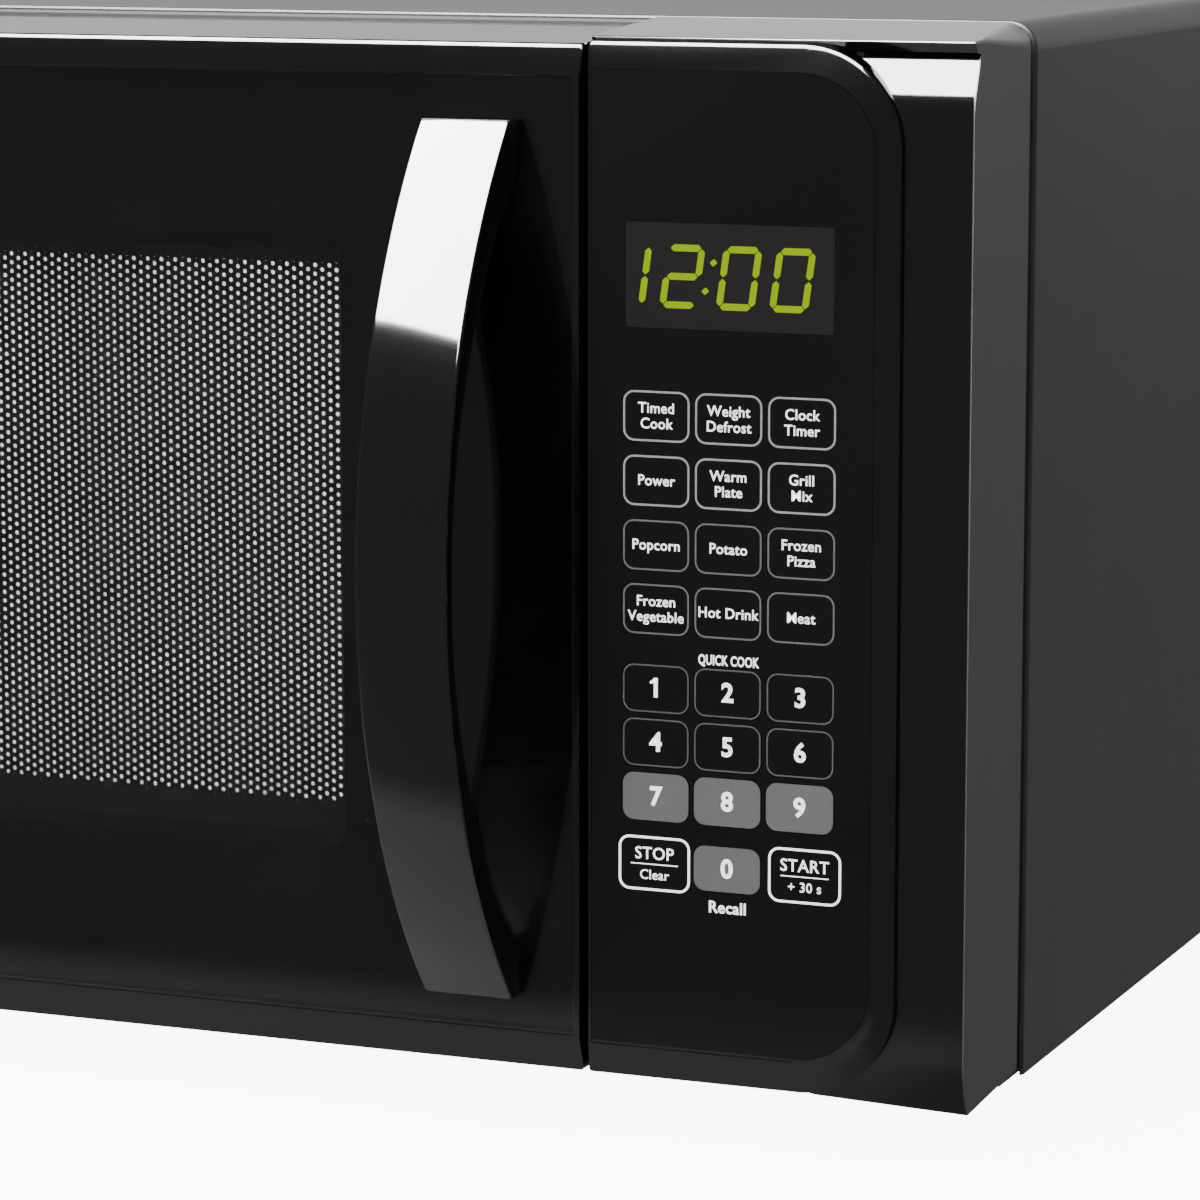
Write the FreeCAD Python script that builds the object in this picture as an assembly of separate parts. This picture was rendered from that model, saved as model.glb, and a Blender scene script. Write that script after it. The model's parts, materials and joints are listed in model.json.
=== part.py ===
import FreeCAD, Part
import math
import os

from FreeCAD import Vector

# Countertop microwave oven with grill. Millimetres; X to the right seen from the front,
# -Y towards the user, +Z up. Origin: bottom centre of the whole object, on the worktop.

# ---- overall size ----
WIDTH = 513.0
BODY_DEPTH = 427.0
HANDLE_DEPTH = 50.0
HEIGHT = 309.5
DEPTH = BODY_DEPTH + HANDLE_DEPTH
HALF_X = WIDTH / 2
FRONT = -DEPTH / 2 + HANDLE_DEPTH      # plane of the door glass and of the key panel
SHEET = 1.0                            # steel sheet of cabinet, base, rear and oven liner
GAP = 0.15                             # clearance round keys and inserts

# ---- cabinet, base, rear ----
CABINET_FRONT = -131.0
CABINET_REAR = 231.0
CABINET_BOTTOM = 12.0
CABINET_RADIUS = 8.0
HEM = 6.0
REAR_FLANGE = 14.0
BASE_Z = 13.0
FOOT_X = 215.0
FOOT_Y = (-92.0, 195.0)
PANEL_Y = CABINET_REAR - 2 * SHEET     # inner face of the rear panel
BULGE = (135.0, 235.0, 150.0, 250.0)   # x0, x1, z0, z1 of the pressed air intake at the rear

# ---- oven ----
OVEN_X = (-228.0, 112.0)
OVEN_Y = (-149.0, 215.0)
OVEN_Z = (34.0, 258.0)
OVEN_RADIUS = 10.0
FACE_Y = OVEN_Y[0] - SHEET             # front of the face plate round the oven mouth
FACE_TOP = HEIGHT - 1.2                # over the door
FACE_STEP = 304.8                      # under the top lip of the control side

# ---- turntable ----
TURN_X = -58.0
TURN_Y = 33.0
WHEEL_TRACK = 109.0
WHEEL_R = 8.4
RUN_GAP = 0.3                          # wheels to floor and to tray
AXLE_R = 1.6
WHEEL_Z = OVEN_Z[0] + RUN_GAP + WHEEL_R
TRAY_Z = WHEEL_Z + WHEEL_R + RUN_GAP
TRAY_R = 157.0
TRAY_WALL = 4.0
TRAY_RIM = 10.0
SHAFT_R = 3.4
RUNNING_FIT = 0.05

# ---- grill heater ----
GRILL_R = 3.2
GRILL_Z = 249.0
GRILL_X = (TURN_X - 90.0, TURN_X + 90.0)
GRILL_FRONT = -40.0
GRILL_BEND = 25.0

# ---- front: strip, scoops, chamfered insert ----
STRIP_Y = FRONT + 4.0                  # glossy strip outside the raised insert
CHAMFER_DROP = 2.0
INSERT_RADIUS = 28.0
INNER_RADIUS = 22.0
LIP_TOP = 3.4                          # height of the lip over the upper recess
LIP_FACE = (2.9, 1.9)                  # height and depth of the lip's sloping face
SLOPE_TOP = (9.5, 3.75)                # height and depth of the flat slope under the lip
SCOOP_TOP = (7.3, 1.39)                # height and depth of the curve below that slope
LIP_EDGE = 0.3
SCOOP_BOTTOM = (15.5, 4.2)             # height and depth of the curve down to the lower edge
FLANK_FRONT_R = 0.6
FLANK_REAR_R = 7.0
END_LAND = 0.6                         # land of the insert beside the gap between door and keys
WALL = 2.5

# ---- door ----
DOOR_X = (-256.0, 144.7)
DOOR_Z = (16.0, 304.0)
DOOR_REAR = -151.0
DOOR_RISE = 3.5                        # the top slopes up towards the rear
DOOR_INSERT_X0 = -236.5
GLASS_X = (-229.0, 142.7)
GLASS_Z = (27.0, 295.0)
GLASS_LAND = 2.2                       # narrow land under the glass
GLASS_THICK = 3.0
HINGE_X = -251.0
HINGE_Y = -157.5
PIN_R = 2.5
PIN_LENGTH = 12.0
WINDOW_X = (-206.0, 71.0)
WINDOW_Z = (74.0, 249.0)
HOLLOW_X = (-245.0, 138.0)
HOLLOW_Z = (22.0, 298.0)
SCREEN_X = (-242.0, 123.0)
SCREEN_Z = (24.0, 272.0)
SCREEN_Y = -166.5
COVER_Y = DOOR_REAR - 2.0

# ---- handle ----
HANDLE_X = (98.8, 125.8)
HANDLE_Z = (36.0, 283.0)
HANDLE_THICK = 5.0
HANDLE_PEG_R = 4.0
PEG_INSET = 8.0
HANDLE_FOOT = 16.0                     # height of the stretch that rests on the glass

# ---- door latch ----
HOOK_X = (127.5, 131.5)
HOOK_Z = (75.0, 225.0)
LATCH_BAR_X = (126.0, 133.0)
LATCH_BAR_Y = (-163.0, -157.0)
HOOK_TIP_Y = -135.0

# ---- control side ----
BEZEL_X = (146.3, 256.0)
BEZEL_Z = (16.0, 306.0)
BEZEL_REAR = -135.0
BEZEL_RISE = 3.3                       # the top slopes up to meet the cabinet
BEZEL_DROP = 3.4                       # the lower outer corner hangs below the insert
BEZEL_REAR_LIFT = 2.4                  # the bottom slopes up to the rear
DROOP_X = (204.0, 212.0)               # where the lower edge starts to hang
INSERT_X1 = 236.5
INSERT_TOP = 305.0
OVERLAY_X = (147.3, 229.8)
OVERLAY_Z = (25.7, 297.3)
OVERLAY_RADIUS = 21.5
PLATE = 1.2                            # thickness of overlay, keys and display window
LIP = 1.1
DISPLAY_X = (157.9, 218.5)
DISPLAY_Z = (227.0, 256.2)
BOARD_Y = -165.8
KEY_COLUMNS = (167.05, 188.2, 209.4)
KEY_WIDTH = 19.7
KEY_RADIUS = 3.5
STEM_R = 1.5
KEY_WELL = 1.0                         # free depth behind a key plate
FUNCTION_ROWS = (202.85, 185.0, 167.1, 149.3)
FUNCTION_HEIGHT = 14.2
NUMBER_ROWS = (127.1, 111.9, 96.6)
NUMBER_HEIGHT = 13.6
LAST_ROW = 77.7
STOP_START_X = (166.7, 211.0)
STOP_START_SIZE = (21.4, 15.6)
ZERO_HEIGHT = 12.9
FUNCTION_NAMES = (("cook", "defrost", "clock"), ("power", "plate", "grill"),
                  ("popcorn", "potato", "pizza"), ("vegetable", "drink", "meat"))

# ---- fan ----
FAN_X = 190.0
FAN_Z = 200.0
FAN_R = 42.0

# ---- cord inlet ----
GLAND_X = 215.0
GLAND_Z = 46.0
GLAND_R = 8.0
CORD_R = 3.7


def box(x_range, y_range, z_range):
    corner = Vector(x_range[0], y_range[0], z_range[0])
    return Part.makeBox(x_range[1] - x_range[0], y_range[1] - y_range[0], z_range[1] - z_range[0], corner)


def rod(start, direction, radius, length):
    return Part.makeCylinder(radius, length, Vector(*start), Vector(*direction))


def outline(x_range, z_range, left_radius, right_radius, y):
    # Rectangle with rounded corners, drawn in the plane of the front at depth y.
    x0, x1 = x_range
    z0, z1 = z_range
    corners = ((x0 + left_radius, z0 + left_radius, left_radius, 180),
               (x1 - right_radius, z0 + right_radius, right_radius, 270),
               (x1 - right_radius, z1 - right_radius, right_radius, 0),
               (x0 + left_radius, z1 - left_radius, left_radius, 90))
    arcs = []
    for centre_x, centre_z, radius, start in corners:
        points = []
        for step in (0, 45, 90):
            angle = math.radians(start + step)
            points.append(Vector(centre_x + radius * math.cos(angle), y, centre_z + radius * math.sin(angle)))
        arcs.append(points)
    edges = []
    for index, points in enumerate(arcs):
        edges.append(Part.Arc(*points).toShape())
        edges.append(Part.LineSegment(points[2], arcs[(index + 1) % 4][0]).toShape())
    return Part.Wire(edges)


def slab(x_range, z_range, radius, y_range):
    # Rounded rectangle of even corner radius, extruded in depth.
    face = Part.Face(outline(x_range, z_range, radius, radius, y_range[0]))
    return face.extrude(Vector(0, y_range[1] - y_range[0], 0))


def slot(x_range, z_range, y_range):
    # Cutter for a straight slot with round ends.
    radius = min(x_range[1] - x_range[0], z_range[1] - z_range[0]) / 2 - 0.01
    return slab(x_range, z_range, radius, y_range)


def fuse(shapes):
    return shapes[0].multiFuse(shapes[1:]).removeSplitter()


def cut(shape, tools):
    return shape.cut(Part.makeCompound(tools))


def save(name, shape):
    if shape.ShapeType == "Compound" and len(shape.Solids) == 1:
        shape = shape.Solids[0]
    if not shape.isValid() or not shape.Solids:
        raise ValueError(name + " is not a valid solid")
    shape.exportStep("parts/" + name + ".step")
    print(name, len(shape.Solids), round(shape.Volume / 1000, 1), "cm3")


# ---------------------------------------------------------------- sheet metal housing

def cabinet_profile(inset, y):
    # Upside-down U with rounded top corners, as a closed section of the given inset.
    half = HALF_X - inset
    top = HEIGHT - inset
    radius = CABINET_RADIUS - inset
    points = []
    for side, start in ((1, 0), (-1, 90)):
        arc = []
        for step in (0, 45, 90):
            angle = math.radians(start + step)
            arc.append(Vector(side * (half - radius) + radius * math.cos(angle), y,
                              top - radius + radius * math.sin(angle)))
        points.append(arc)
    right, left = points
    low_right = Vector(half, y, CABINET_BOTTOM)
    low_left = Vector(-half, y, CABINET_BOTTOM)
    return Part.Wire([Part.LineSegment(low_right, right[0]).toShape(),
                      Part.Arc(*right).toShape(),
                      Part.LineSegment(right[2], left[0]).toShape(),
                      Part.Arc(*left).toShape(),
                      Part.LineSegment(left[2], low_left).toShape(),
                      Part.LineSegment(low_left, low_right).toShape()])


def cabinet_prism(inset, y_range):
    face = Part.Face(cabinet_profile(inset, y_range[0]))
    return face.extrude(Vector(0, y_range[1] - y_range[0], 0))


def screw_places():
    places = []
    for z in (60.0, 160.0, 262.0):
        places.append((HALF_X - 7.0, z, CABINET_REAR))
        places.append((7.0 - HALF_X, z, CABINET_REAR))
    for x in (-150.0, 0.0, 150.0):
        places.append((x, HEIGHT - 7.0, CABINET_REAR))
        places.append((x, BASE_Z + 9.0, CABINET_REAR - SHEET))
    return places


def screw_holes():
    return [rod((x, PANEL_Y - 3, z), (0, 1, 0), 2.05, 6) for x, z, y in screw_places()]


def outer_cabinet():
    front = CABINET_FRONT
    rolled = 1.2                       # radius of the folded front edge
    outer = cabinet_prism(0, (front + rolled, CABINET_REAR))
    nose = Part.makeLoft([cabinet_profile(rolled * 0.6, front),
                          cabinet_profile(rolled * 0.15, front + rolled * 0.4),
                          cabinet_profile(0, front + rolled)], True, True)
    inner = cabinet_prism(SHEET, (front + HEM, CABINET_REAR - SHEET))
    mouth = cabinet_prism(2 * SHEET, (front - 1, front + HEM))
    rear_mouth = box((REAR_FLANGE - HALF_X, HALF_X - REAR_FLANGE),
                     (CABINET_REAR - 2, CABINET_REAR + 1), (0, HEIGHT - REAR_FLANGE))
    under = box((SHEET - HALF_X, HALF_X - SHEET), (front - 1, CABINET_REAR - SHEET),
                (0, CABINET_BOTTOM + 2 * SHEET))
    shell = cut(fuse([outer, nose]), [inner, mouth, rear_mouth, under])
    return cut(shell, screw_holes())


def base_plate():
    half = HALF_X - 1.2
    rear = PANEL_Y
    plate = box((-half, half), (FACE_Y + SHEET, rear), (BASE_Z, BASE_Z + SHEET))
    flange_front = CABINET_FRONT + HEM + 0.5
    flanges = [box((-half, SHEET - half), (flange_front, rear), (BASE_Z, 33)),
               box((half - SHEET, half), (flange_front, rear), (BASE_Z, 33)),
               box((-238, 144), (OVEN_Y[0], OVEN_Y[0] + SHEET), (BASE_Z, 30)),
               box((-half, half), (rear - SHEET, rear), (BASE_Z, 32))]
    holes = screw_holes()
    for column in range(9):
        x = 150 + 9 * column
        for y in (-60, 10):
            holes.append(Part.makeBox(3, 40, 3, Vector(x, y, BASE_Z - 1)))
    for column in range(12):
        x = TURN_X - 33 + 6 * column
        holes.append(Part.makeBox(2.5, 26, 3, Vector(x, TURN_Y + 60, BASE_Z - 1)))
    return cut(fuse([plate] + flanges), holes)


def rear_panel():
    half = HALF_X - SHEET - 0.3
    top = HEIGHT - SHEET - 0.3
    plate = slab((-half, half), (BASE_Z + SHEET + 0.1, top), 6.5, (PANEL_Y, PANEL_Y + SHEET))
    x0, x1, z0, z1 = BULGE
    front_wire = outline((x0, x1), (z0, z1), 10, 10, PANEL_Y + SHEET)
    back_wire = outline((x0 + 4, x1 - 4), (z0 + 4, z1 - 4), 8, 8, DEPTH / 2)
    bulge = Part.makeLoft([front_wire, back_wire], True, True)
    inside = Part.makeLoft([outline((x0 + 1, x1 - 1), (z0 + 1, z1 - 1), 9, 9, PANEL_Y),
                            outline((x0 + 5, x1 - 5), (z0 + 5, z1 - 5), 7, 7, DEPTH / 2 - SHEET)], True, True)
    holes = screw_holes()
    for column in range(12):
        x = x0 + 12 + 6.8 * column
        holes.append(slot((x, x + 3), (z0 + 14, z1 - 14), (PANEL_Y - 1, DEPTH / 2 + 1)))
    for column in range(14):
        for row in range(3):
            x = -212 + 9.0 * column
            z = 214 + 22 * row
            holes.append(slot((x, x + 3), (z, z + 18), (PANEL_Y - 1, PANEL_Y + 2)))
    holes.append(rod((GLAND_X, PANEL_Y - 1, GLAND_Z), (0, 1, 0), GLAND_R + 0.1, 4))
    return cut(fuse([plate, bulge]), [inside] + holes)


def feet():
    shapes = []
    for x in (-FOOT_X, FOOT_X):
        for y in FOOT_Y:
            foot = Part.makeCone(11.5, 14.0, BASE_Z, Vector(x, y, 0))
            recess = rod((x, y, -1), (0, 0, 1), 4.0, 4.0)
            shapes.append(foot.cut(recess))
    return Part.makeCompound(shapes)


def case_screws():
    shapes = []
    for x, z, seat in screw_places():
        shaft = rod((x, PANEL_Y - 6, z), (0, 1, 0), 1.9, seat - PANEL_Y + 6)
        head = Part.makeCone(4.2, 3.2, 2.2, Vector(x, seat, z), Vector(0, 1, 0))
        cross = [box((x - 2.2, x + 2.2), (seat + 1.2, seat + 3), (z - 0.4, z + 0.4)),
                 box((x - 0.4, x + 0.4), (seat + 1.2, seat + 3), (z - 2.2, z + 2.2))]
        shapes.append(cut(fuse([shaft, head]), cross))
    return Part.makeCompound(shapes)


def cord_gland():
    body = rod((GLAND_X, PANEL_Y - 6, GLAND_Z), (0, 1, 0), GLAND_R, 8)
    flange = Part.makeCone(12.0, 10.0, 3.5, Vector(GLAND_X, PANEL_Y + SHEET, GLAND_Z), Vector(0, 1, 0))
    nut = rod((GLAND_X, PANEL_Y - 3, GLAND_Z), (0, 1, 0), 11.0, 3.0)
    bore = rod((GLAND_X, PANEL_Y - 10, GLAND_Z), (0, 1, 0), CORD_R, 20)
    return cut(fuse([body, flange, nut]), [bore])


# ---------------------------------------------------------------- oven and its front

def cavity_liner():
    grown_x = (OVEN_X[0] - SHEET, OVEN_X[1] + SHEET)
    grown_z = (OVEN_Z[0] - SHEET, OVEN_Z[1] + SHEET)
    outer = slab(grown_x, grown_z, OVEN_RADIUS + SHEET, (OVEN_Y[0], OVEN_Y[1] + SHEET))
    inner = slab(OVEN_X, OVEN_Z, OVEN_RADIUS, (OVEN_Y[0] - 1, OVEN_Y[1]))
    tools = [inner, rod((TURN_X, TURN_Y, OVEN_Z[0] - 5), (0, 0, 1), 8.0, 10)]
    wall = (OVEN_X[1] - 1, OVEN_X[1] + 2)
    tools.append(box(wall, (70, 140), (166, 214)))
    tools.append(rod((wall[0], -60, 225), (1, 0, 0), 11.0, 4))
    for column in range(7):
        for row in range(4):
            tools.append(rod((wall[0], -20 + 7 * column, 200 + 7 * row), (1, 0, 0), 1.5, 4))
    for x in GRILL_X:
        tools.append(rod((x, OVEN_Y[1] - 2, GRILL_Z), (0, 1, 0), GRILL_R + 0.2, 5))
    return cut(outer, tools)


def front_frame():
    right = BEZEL_X[1] - LIP - 0.2
    left = -253.5
    middle = BEZEL_X[0] - 0.8
    low = 17.3
    tuck_x = (12 - HALF_X, HALF_X - 12)            # clear of the cabinet's round top corners
    tuck_top = HEIGHT - 2 * SHEET - 0.1            # just under the cabinet's hem
    edge_y = (FACE_Y, CABINET_FRONT - 0.4)
    tuck_y = (CABINET_FRONT - 0.4 - SHEET, -120)
    plate = box((left, right), (FACE_Y, FACE_Y + SHEET), (low, FACE_STEP))
    raised = box((left, middle), (FACE_Y, FACE_Y + SHEET), (FACE_STEP - 5, FACE_TOP))
    tops = [box((left, middle), edge_y, (FACE_TOP - SHEET, FACE_TOP)),
            box((middle - SHEET, right), edge_y, (FACE_STEP - SHEET, FACE_STEP)),
            box((middle - SHEET, middle), edge_y, (FACE_STEP - SHEET, FACE_TOP))]
    sides = [box((left, left + SHEET), edge_y, (low, FACE_TOP)),
             box((right - SHEET, right), edge_y, (low, FACE_STEP))]
    tucks = [box((tuck_x[0], middle), (tuck_y[0], tuck_y[0] + SHEET), (tuck_top - SHEET, FACE_TOP)),
             box((tuck_x[0], middle), tuck_y, (tuck_top - SHEET, tuck_top)),
             box((middle - SHEET, tuck_x[1]), tuck_y, (FACE_STEP - SHEET, FACE_STEP))]
    cut_y = (FACE_Y - 1, FACE_Y + SHEET + 1)
    tools = [slab(OVEN_X, OVEN_Z, OVEN_RADIUS, cut_y), slab((162, 240), (60, 272), 6, cut_y)]
    for z in HOOK_Z:
        tools.append(slab((123.5, 135.0), (z - 11, z + 19), 2, cut_y))
    return cut(fuse([plate, raised] + tops + sides + tucks), tools)


def waveguide_cover():
    x_range = (OVEN_X[1] - 1.2, OVEN_X[1])
    return box(x_range, (62, 148), (158, 222))


def magnetron():
    duct = box((113, 145), (62, 148), (158, 222)).cut(box((112, 144), (63, 147), (159, 221)))
    core = rod((146.5, 105, 190), (1, 0, 0), 20, 66)
    antenna = rod((122, 105, 190), (1, 0, 0), 7, 30)
    base = box((145, 150), (66, 144), (152, 228))
    cap = box((200, 214), (75, 135), (160, 220))
    fins = [box((156 + 6 * step, 157.2 + 6 * step), (70, 140), (155, 225)) for step in range(7)]
    return fuse([duct, core, antenna, base, cap] + fins)


def transformer():
    core = box((165, 235), (60, 140), (14, 92))
    coils = [box((172, 228), (44, 156), (30, 52)), box((172, 228), (48, 152), (56, 78))]
    foot = box((155, 245), (66, 134), (14, 17))
    return fuse([core, foot] + coils)


def capacitor():
    can = Part.Face(Part.Wire([
        Part.Arc(Vector(175, 32, 14), Vector(160, 17, 14), Vector(175, 2, 14)).toShape(),
        Part.LineSegment(Vector(175, 2, 14), Vector(215, 2, 14)).toShape(),
        Part.Arc(Vector(215, 2, 14), Vector(230, 17, 14), Vector(215, 32, 14)).toShape(),
        Part.LineSegment(Vector(215, 32, 14), Vector(175, 32, 14)).toShape()])).extrude(Vector(0, 0, 92))
    posts = [rod((x, 17, 100), (0, 0, 1), 3, 18) for x in (185, 205)]
    return fuse([can] + posts)


def fan_motor():
    motor = slab((FAN_X - 24, FAN_X + 24), (FAN_Z - 24, FAN_Z + 24), 6, (164, 186))
    arm = box((FAN_X - 56, FAN_X + 56), (160, 164), (FAN_Z - 9, FAN_Z + 9))
    legs = [box((FAN_X - 56, FAN_X - 52), (160, PANEL_Y), (FAN_Z - 9, FAN_Z + 9)),
            box((FAN_X + 52, FAN_X + 56), (160, PANEL_Y), (FAN_Z - 9, FAN_Z + 9))]
    bore = rod((FAN_X, 170, FAN_Z), (0, 1, 0), 2 + RUNNING_FIT, 20)
    return cut(fuse([motor, arm] + legs), [bore])


def fan_blade():
    shaft = rod((FAN_X, 172, FAN_Z), (0, 1, 0), 2, 22)
    hub = rod((FAN_X, 192, FAN_Z), (0, 1, 0), 12, 18)
    shapes = [shaft, hub]
    for index in range(5):
        blade = box((8, FAN_R), (-0.8, 0.8), (-11, 11))
        blade.rotate(Vector(0, 0, 0), Vector(1, 0, 0), 52)
        blade.rotate(Vector(0, 0, 0), Vector(0, 1, 0), 72 * index)
        blade.translate(Vector(FAN_X, 201, FAN_Z))
        shapes.append(blade)
    return fuse(shapes)


def grill_element():
    # Bent rod heater: two legs from the rear wall joined by a cross run near the front.
    bend = GRILL_BEND
    rear = OVEN_Y[1] + 8
    x0, x1 = GRILL_X
    diagonal = bend * (1 - math.sqrt(0.5))
    path = Part.Wire([
        Part.LineSegment(Vector(x0, rear, GRILL_Z), Vector(x0, GRILL_FRONT + bend, GRILL_Z)).toShape(),
        Part.Arc(Vector(x0, GRILL_FRONT + bend, GRILL_Z),
                 Vector(x0 + diagonal, GRILL_FRONT + diagonal, GRILL_Z),
                 Vector(x0 + bend, GRILL_FRONT, GRILL_Z)).toShape(),
        Part.LineSegment(Vector(x0 + bend, GRILL_FRONT, GRILL_Z),
                         Vector(x1 - bend, GRILL_FRONT, GRILL_Z)).toShape(),
        Part.Arc(Vector(x1 - bend, GRILL_FRONT, GRILL_Z),
                 Vector(x1 - diagonal, GRILL_FRONT + diagonal, GRILL_Z),
                 Vector(x1, GRILL_FRONT + bend, GRILL_Z)).toShape(),
        Part.LineSegment(Vector(x1, GRILL_FRONT + bend, GRILL_Z), Vector(x1, rear, GRILL_Z)).toShape()])
    section = Part.Wire([Part.makeCircle(GRILL_R, Vector(x0, rear, GRILL_Z), Vector(0, 1, 0))])
    return path.makePipeShell([section], True, False)


def oven_lamp():
    tip = Part.makeCone(4, 8, 4, Vector(116, -60, 225), Vector(1, 0, 0))
    bulb = rod((120, -60, 225), (1, 0, 0), 8, 12)
    neck = rod((130, -60, 225), (1, 0, 0), 6, 10)
    socket = box((138, 160), (-72, -48), (213, 237))
    bracket = box((113, 160), (-72, -70), (213, 237))
    return fuse([tip, bulb, neck, socket, bracket])


def turntable_motor():
    body = rod((TURN_X, TURN_Y, 16), (0, 0, 1), 24, OVEN_Z[0] - SHEET - 16)
    floor_under = OVEN_Z[0] - SHEET
    ears = box((TURN_X - 34, TURN_X + 34), (TURN_Y - 6, TURN_Y + 6), (floor_under - 2, floor_under))
    bore = rod((TURN_X, TURN_Y, 22), (0, 0, 1), SHAFT_R + RUNNING_FIT, 20)
    return cut(fuse([body, ears]), [bore])


def latch_bracket():
    web = box((135.5, 143), (OVEN_Y[0], -100), (55, 245))
    foot = box((135.5, 155), (OVEN_Y[0], OVEN_Y[0] + 2.5), (55, 245))
    windows = [box((135, 144), (-138, -110), (z - 8, z + 14)) for z in HOOK_Z]
    return cut(fuse([web, foot]), windows)


def door_switches():
    shapes = []
    for z in (98.0, 140.0, 190.0):
        case = box((143, 152), (-138, -112), (z, z + 16))
        lever = box((146, 149), (-144, -138), (z + 5, z + 11))
        shapes.append(fuse([case, lever]))
    return Part.makeCompound(shapes)


# ---------------------------------------------------------------- turntable

def drive_coupler():
    # Three-armed dog on the motor shaft; the lugs of the tray stand between its arms.
    shaft = rod((TURN_X, TURN_Y, 24), (0, 0, 1), SHAFT_R, 14)
    hub = rod((TURN_X, TURN_Y, 36), (0, 0, 1), 7, 11)
    shapes = [shaft, hub]
    for index in range(3):
        arm = box((0, 18), (-3.5, 3.5), (38, 47))
        arm.rotate(Vector(0, 0, 0), Vector(0, 0, 1), 120 * index)
        arm.translate(Vector(TURN_X, TURN_Y, 0))
        shapes.append(arm)
    return fuse(shapes)


def wheel_angles():
    return (90, 210, 330)


def roller_ring():
    outer = rod((TURN_X, TURN_Y, WHEEL_Z - 2.2), (0, 0, 1), 100, 4.4)
    inner = rod((TURN_X, TURN_Y, WHEEL_Z - 5), (0, 0, 1), 92, 10)
    shapes = [outer.cut(inner)]
    for angle in wheel_angles():
        across = math.radians(angle)
        direction = (math.cos(across), math.sin(across), 0)
        start = (TURN_X + 98 * direction[0], TURN_Y + 98 * direction[1], WHEEL_Z)
        cap = (TURN_X + 113 * direction[0], TURN_Y + 113 * direction[1], WHEEL_Z)
        shapes.append(rod(start, direction, AXLE_R, 16))
        shapes.append(rod(cap, direction, 2.8, 2))
    return fuse(shapes)


def roller_wheel(angle):
    across = math.radians(angle)
    direction = (math.cos(across), math.sin(across), 0)
    start = (TURN_X + (WHEEL_TRACK - 3) * direction[0], TURN_Y + (WHEEL_TRACK - 3) * direction[1], WHEEL_Z)
    bore_start = (TURN_X + 90 * direction[0], TURN_Y + 90 * direction[1], WHEEL_Z)
    wheel = rod(start, direction, WHEEL_R, 6)
    return wheel.cut(rod(bore_start, direction, AXLE_R + RUNNING_FIT, 40))


def glass_tray():
    # Shallow dish turned about its axis, with three drive lugs under its middle.
    z0 = TRAY_Z
    z1 = TRAY_Z + TRAY_RIM
    points = [(0, z0), (138, z0), (148, z0 + 2.5), (TRAY_R, z1), (TRAY_R - 3.0, z1 + 0.8),
              (145, z0 + 2.5 + TRAY_WALL), (136, z0 + TRAY_WALL), (0, z0 + TRAY_WALL)]
    wire = Part.makePolygon([Vector(x, 0, z) for x, z in points + points[:1]])
    dish = Part.Face(wire).revolve(Vector(0, 0, 0), Vector(0, 0, 1), 360)
    shapes = [dish]
    for index in range(3):
        lug = box((10, 17), (-2.5, 2.5), (z0 - 8, z0 + 1))
        lug.rotate(Vector(0, 0, 0), Vector(0, 0, 1), 60 + 120 * index)
        shapes.append(lug)
    tray = fuse(shapes)
    tray.translate(Vector(TURN_X, TURN_Y, 0))
    return tray


# ---------------------------------------------------------------- front mouldings

def scoop_arc(z_start, z_end, depth):
    # Arc that leaves the strip plane tangentially at z_start and is depth deep at z_end.
    run = abs(z_end - z_start)
    sign = 1 if z_end > z_start else -1
    radius = (run * run + depth * depth) / (2 * depth)
    half_angle = math.asin(run / radius) / 2
    start = Vector(0, STRIP_Y, z_start)
    middle = Vector(0, STRIP_Y + radius * (1 - math.cos(half_angle)),
                    z_start + sign * radius * math.sin(half_angle))
    end = Vector(0, STRIP_Y + depth, z_end)
    return start, middle, end


def scooped_body(x_range, z_range, rear, rise, rear_lift=0.0):
    # Side view of the strip: it curves back to the lower edge, and near the top it slopes back
    # under a lip. The top and, on the control side, the bottom slope up to the rear.
    low, high = z_range
    slope_foot = high - LIP_TOP - SLOPE_TOP[0]
    bottom = scoop_arc(low + SCOOP_BOTTOM[0], low, SCOOP_BOTTOM[1])
    rear_foot = Vector(0, rear, low + rear_lift)
    top = scoop_arc(slope_foot - SCOOP_TOP[0], slope_foot, SCOOP_TOP[1])
    slope_end = Vector(0, STRIP_Y + SCOOP_TOP[1] + SLOPE_TOP[1], high - LIP_TOP)
    lip_foot = Vector(0, STRIP_Y + LIP_FACE[1], high - LIP_FACE[0])
    lines = [(rear_foot, bottom[2]),
             (bottom[0], top[0]),
             (top[2], slope_end),
             (slope_end, lip_foot),
             (lip_foot, Vector(0, STRIP_Y, high - LIP_EDGE)),
             (Vector(0, STRIP_Y, high - LIP_EDGE), Vector(0, STRIP_Y + LIP_EDGE, high)),
             (Vector(0, STRIP_Y + LIP_EDGE, high), Vector(0, rear, high + rise)),
             (Vector(0, rear, high + rise), rear_foot)]
    edges = [Part.LineSegment(start, end).toShape() for start, end in lines]
    edges.insert(1, Part.Arc(bottom[2], bottom[1], bottom[0]).toShape())
    edges.insert(3, Part.Arc(*top).toShape())
    face = Part.Face(Part.Wire(edges))
    face.translate(Vector(x_range[0], 0, 0))
    return rounded_flank(face.extrude(Vector(x_range[1] - x_range[0], 0, 0)), x_range, rear, high)


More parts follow.
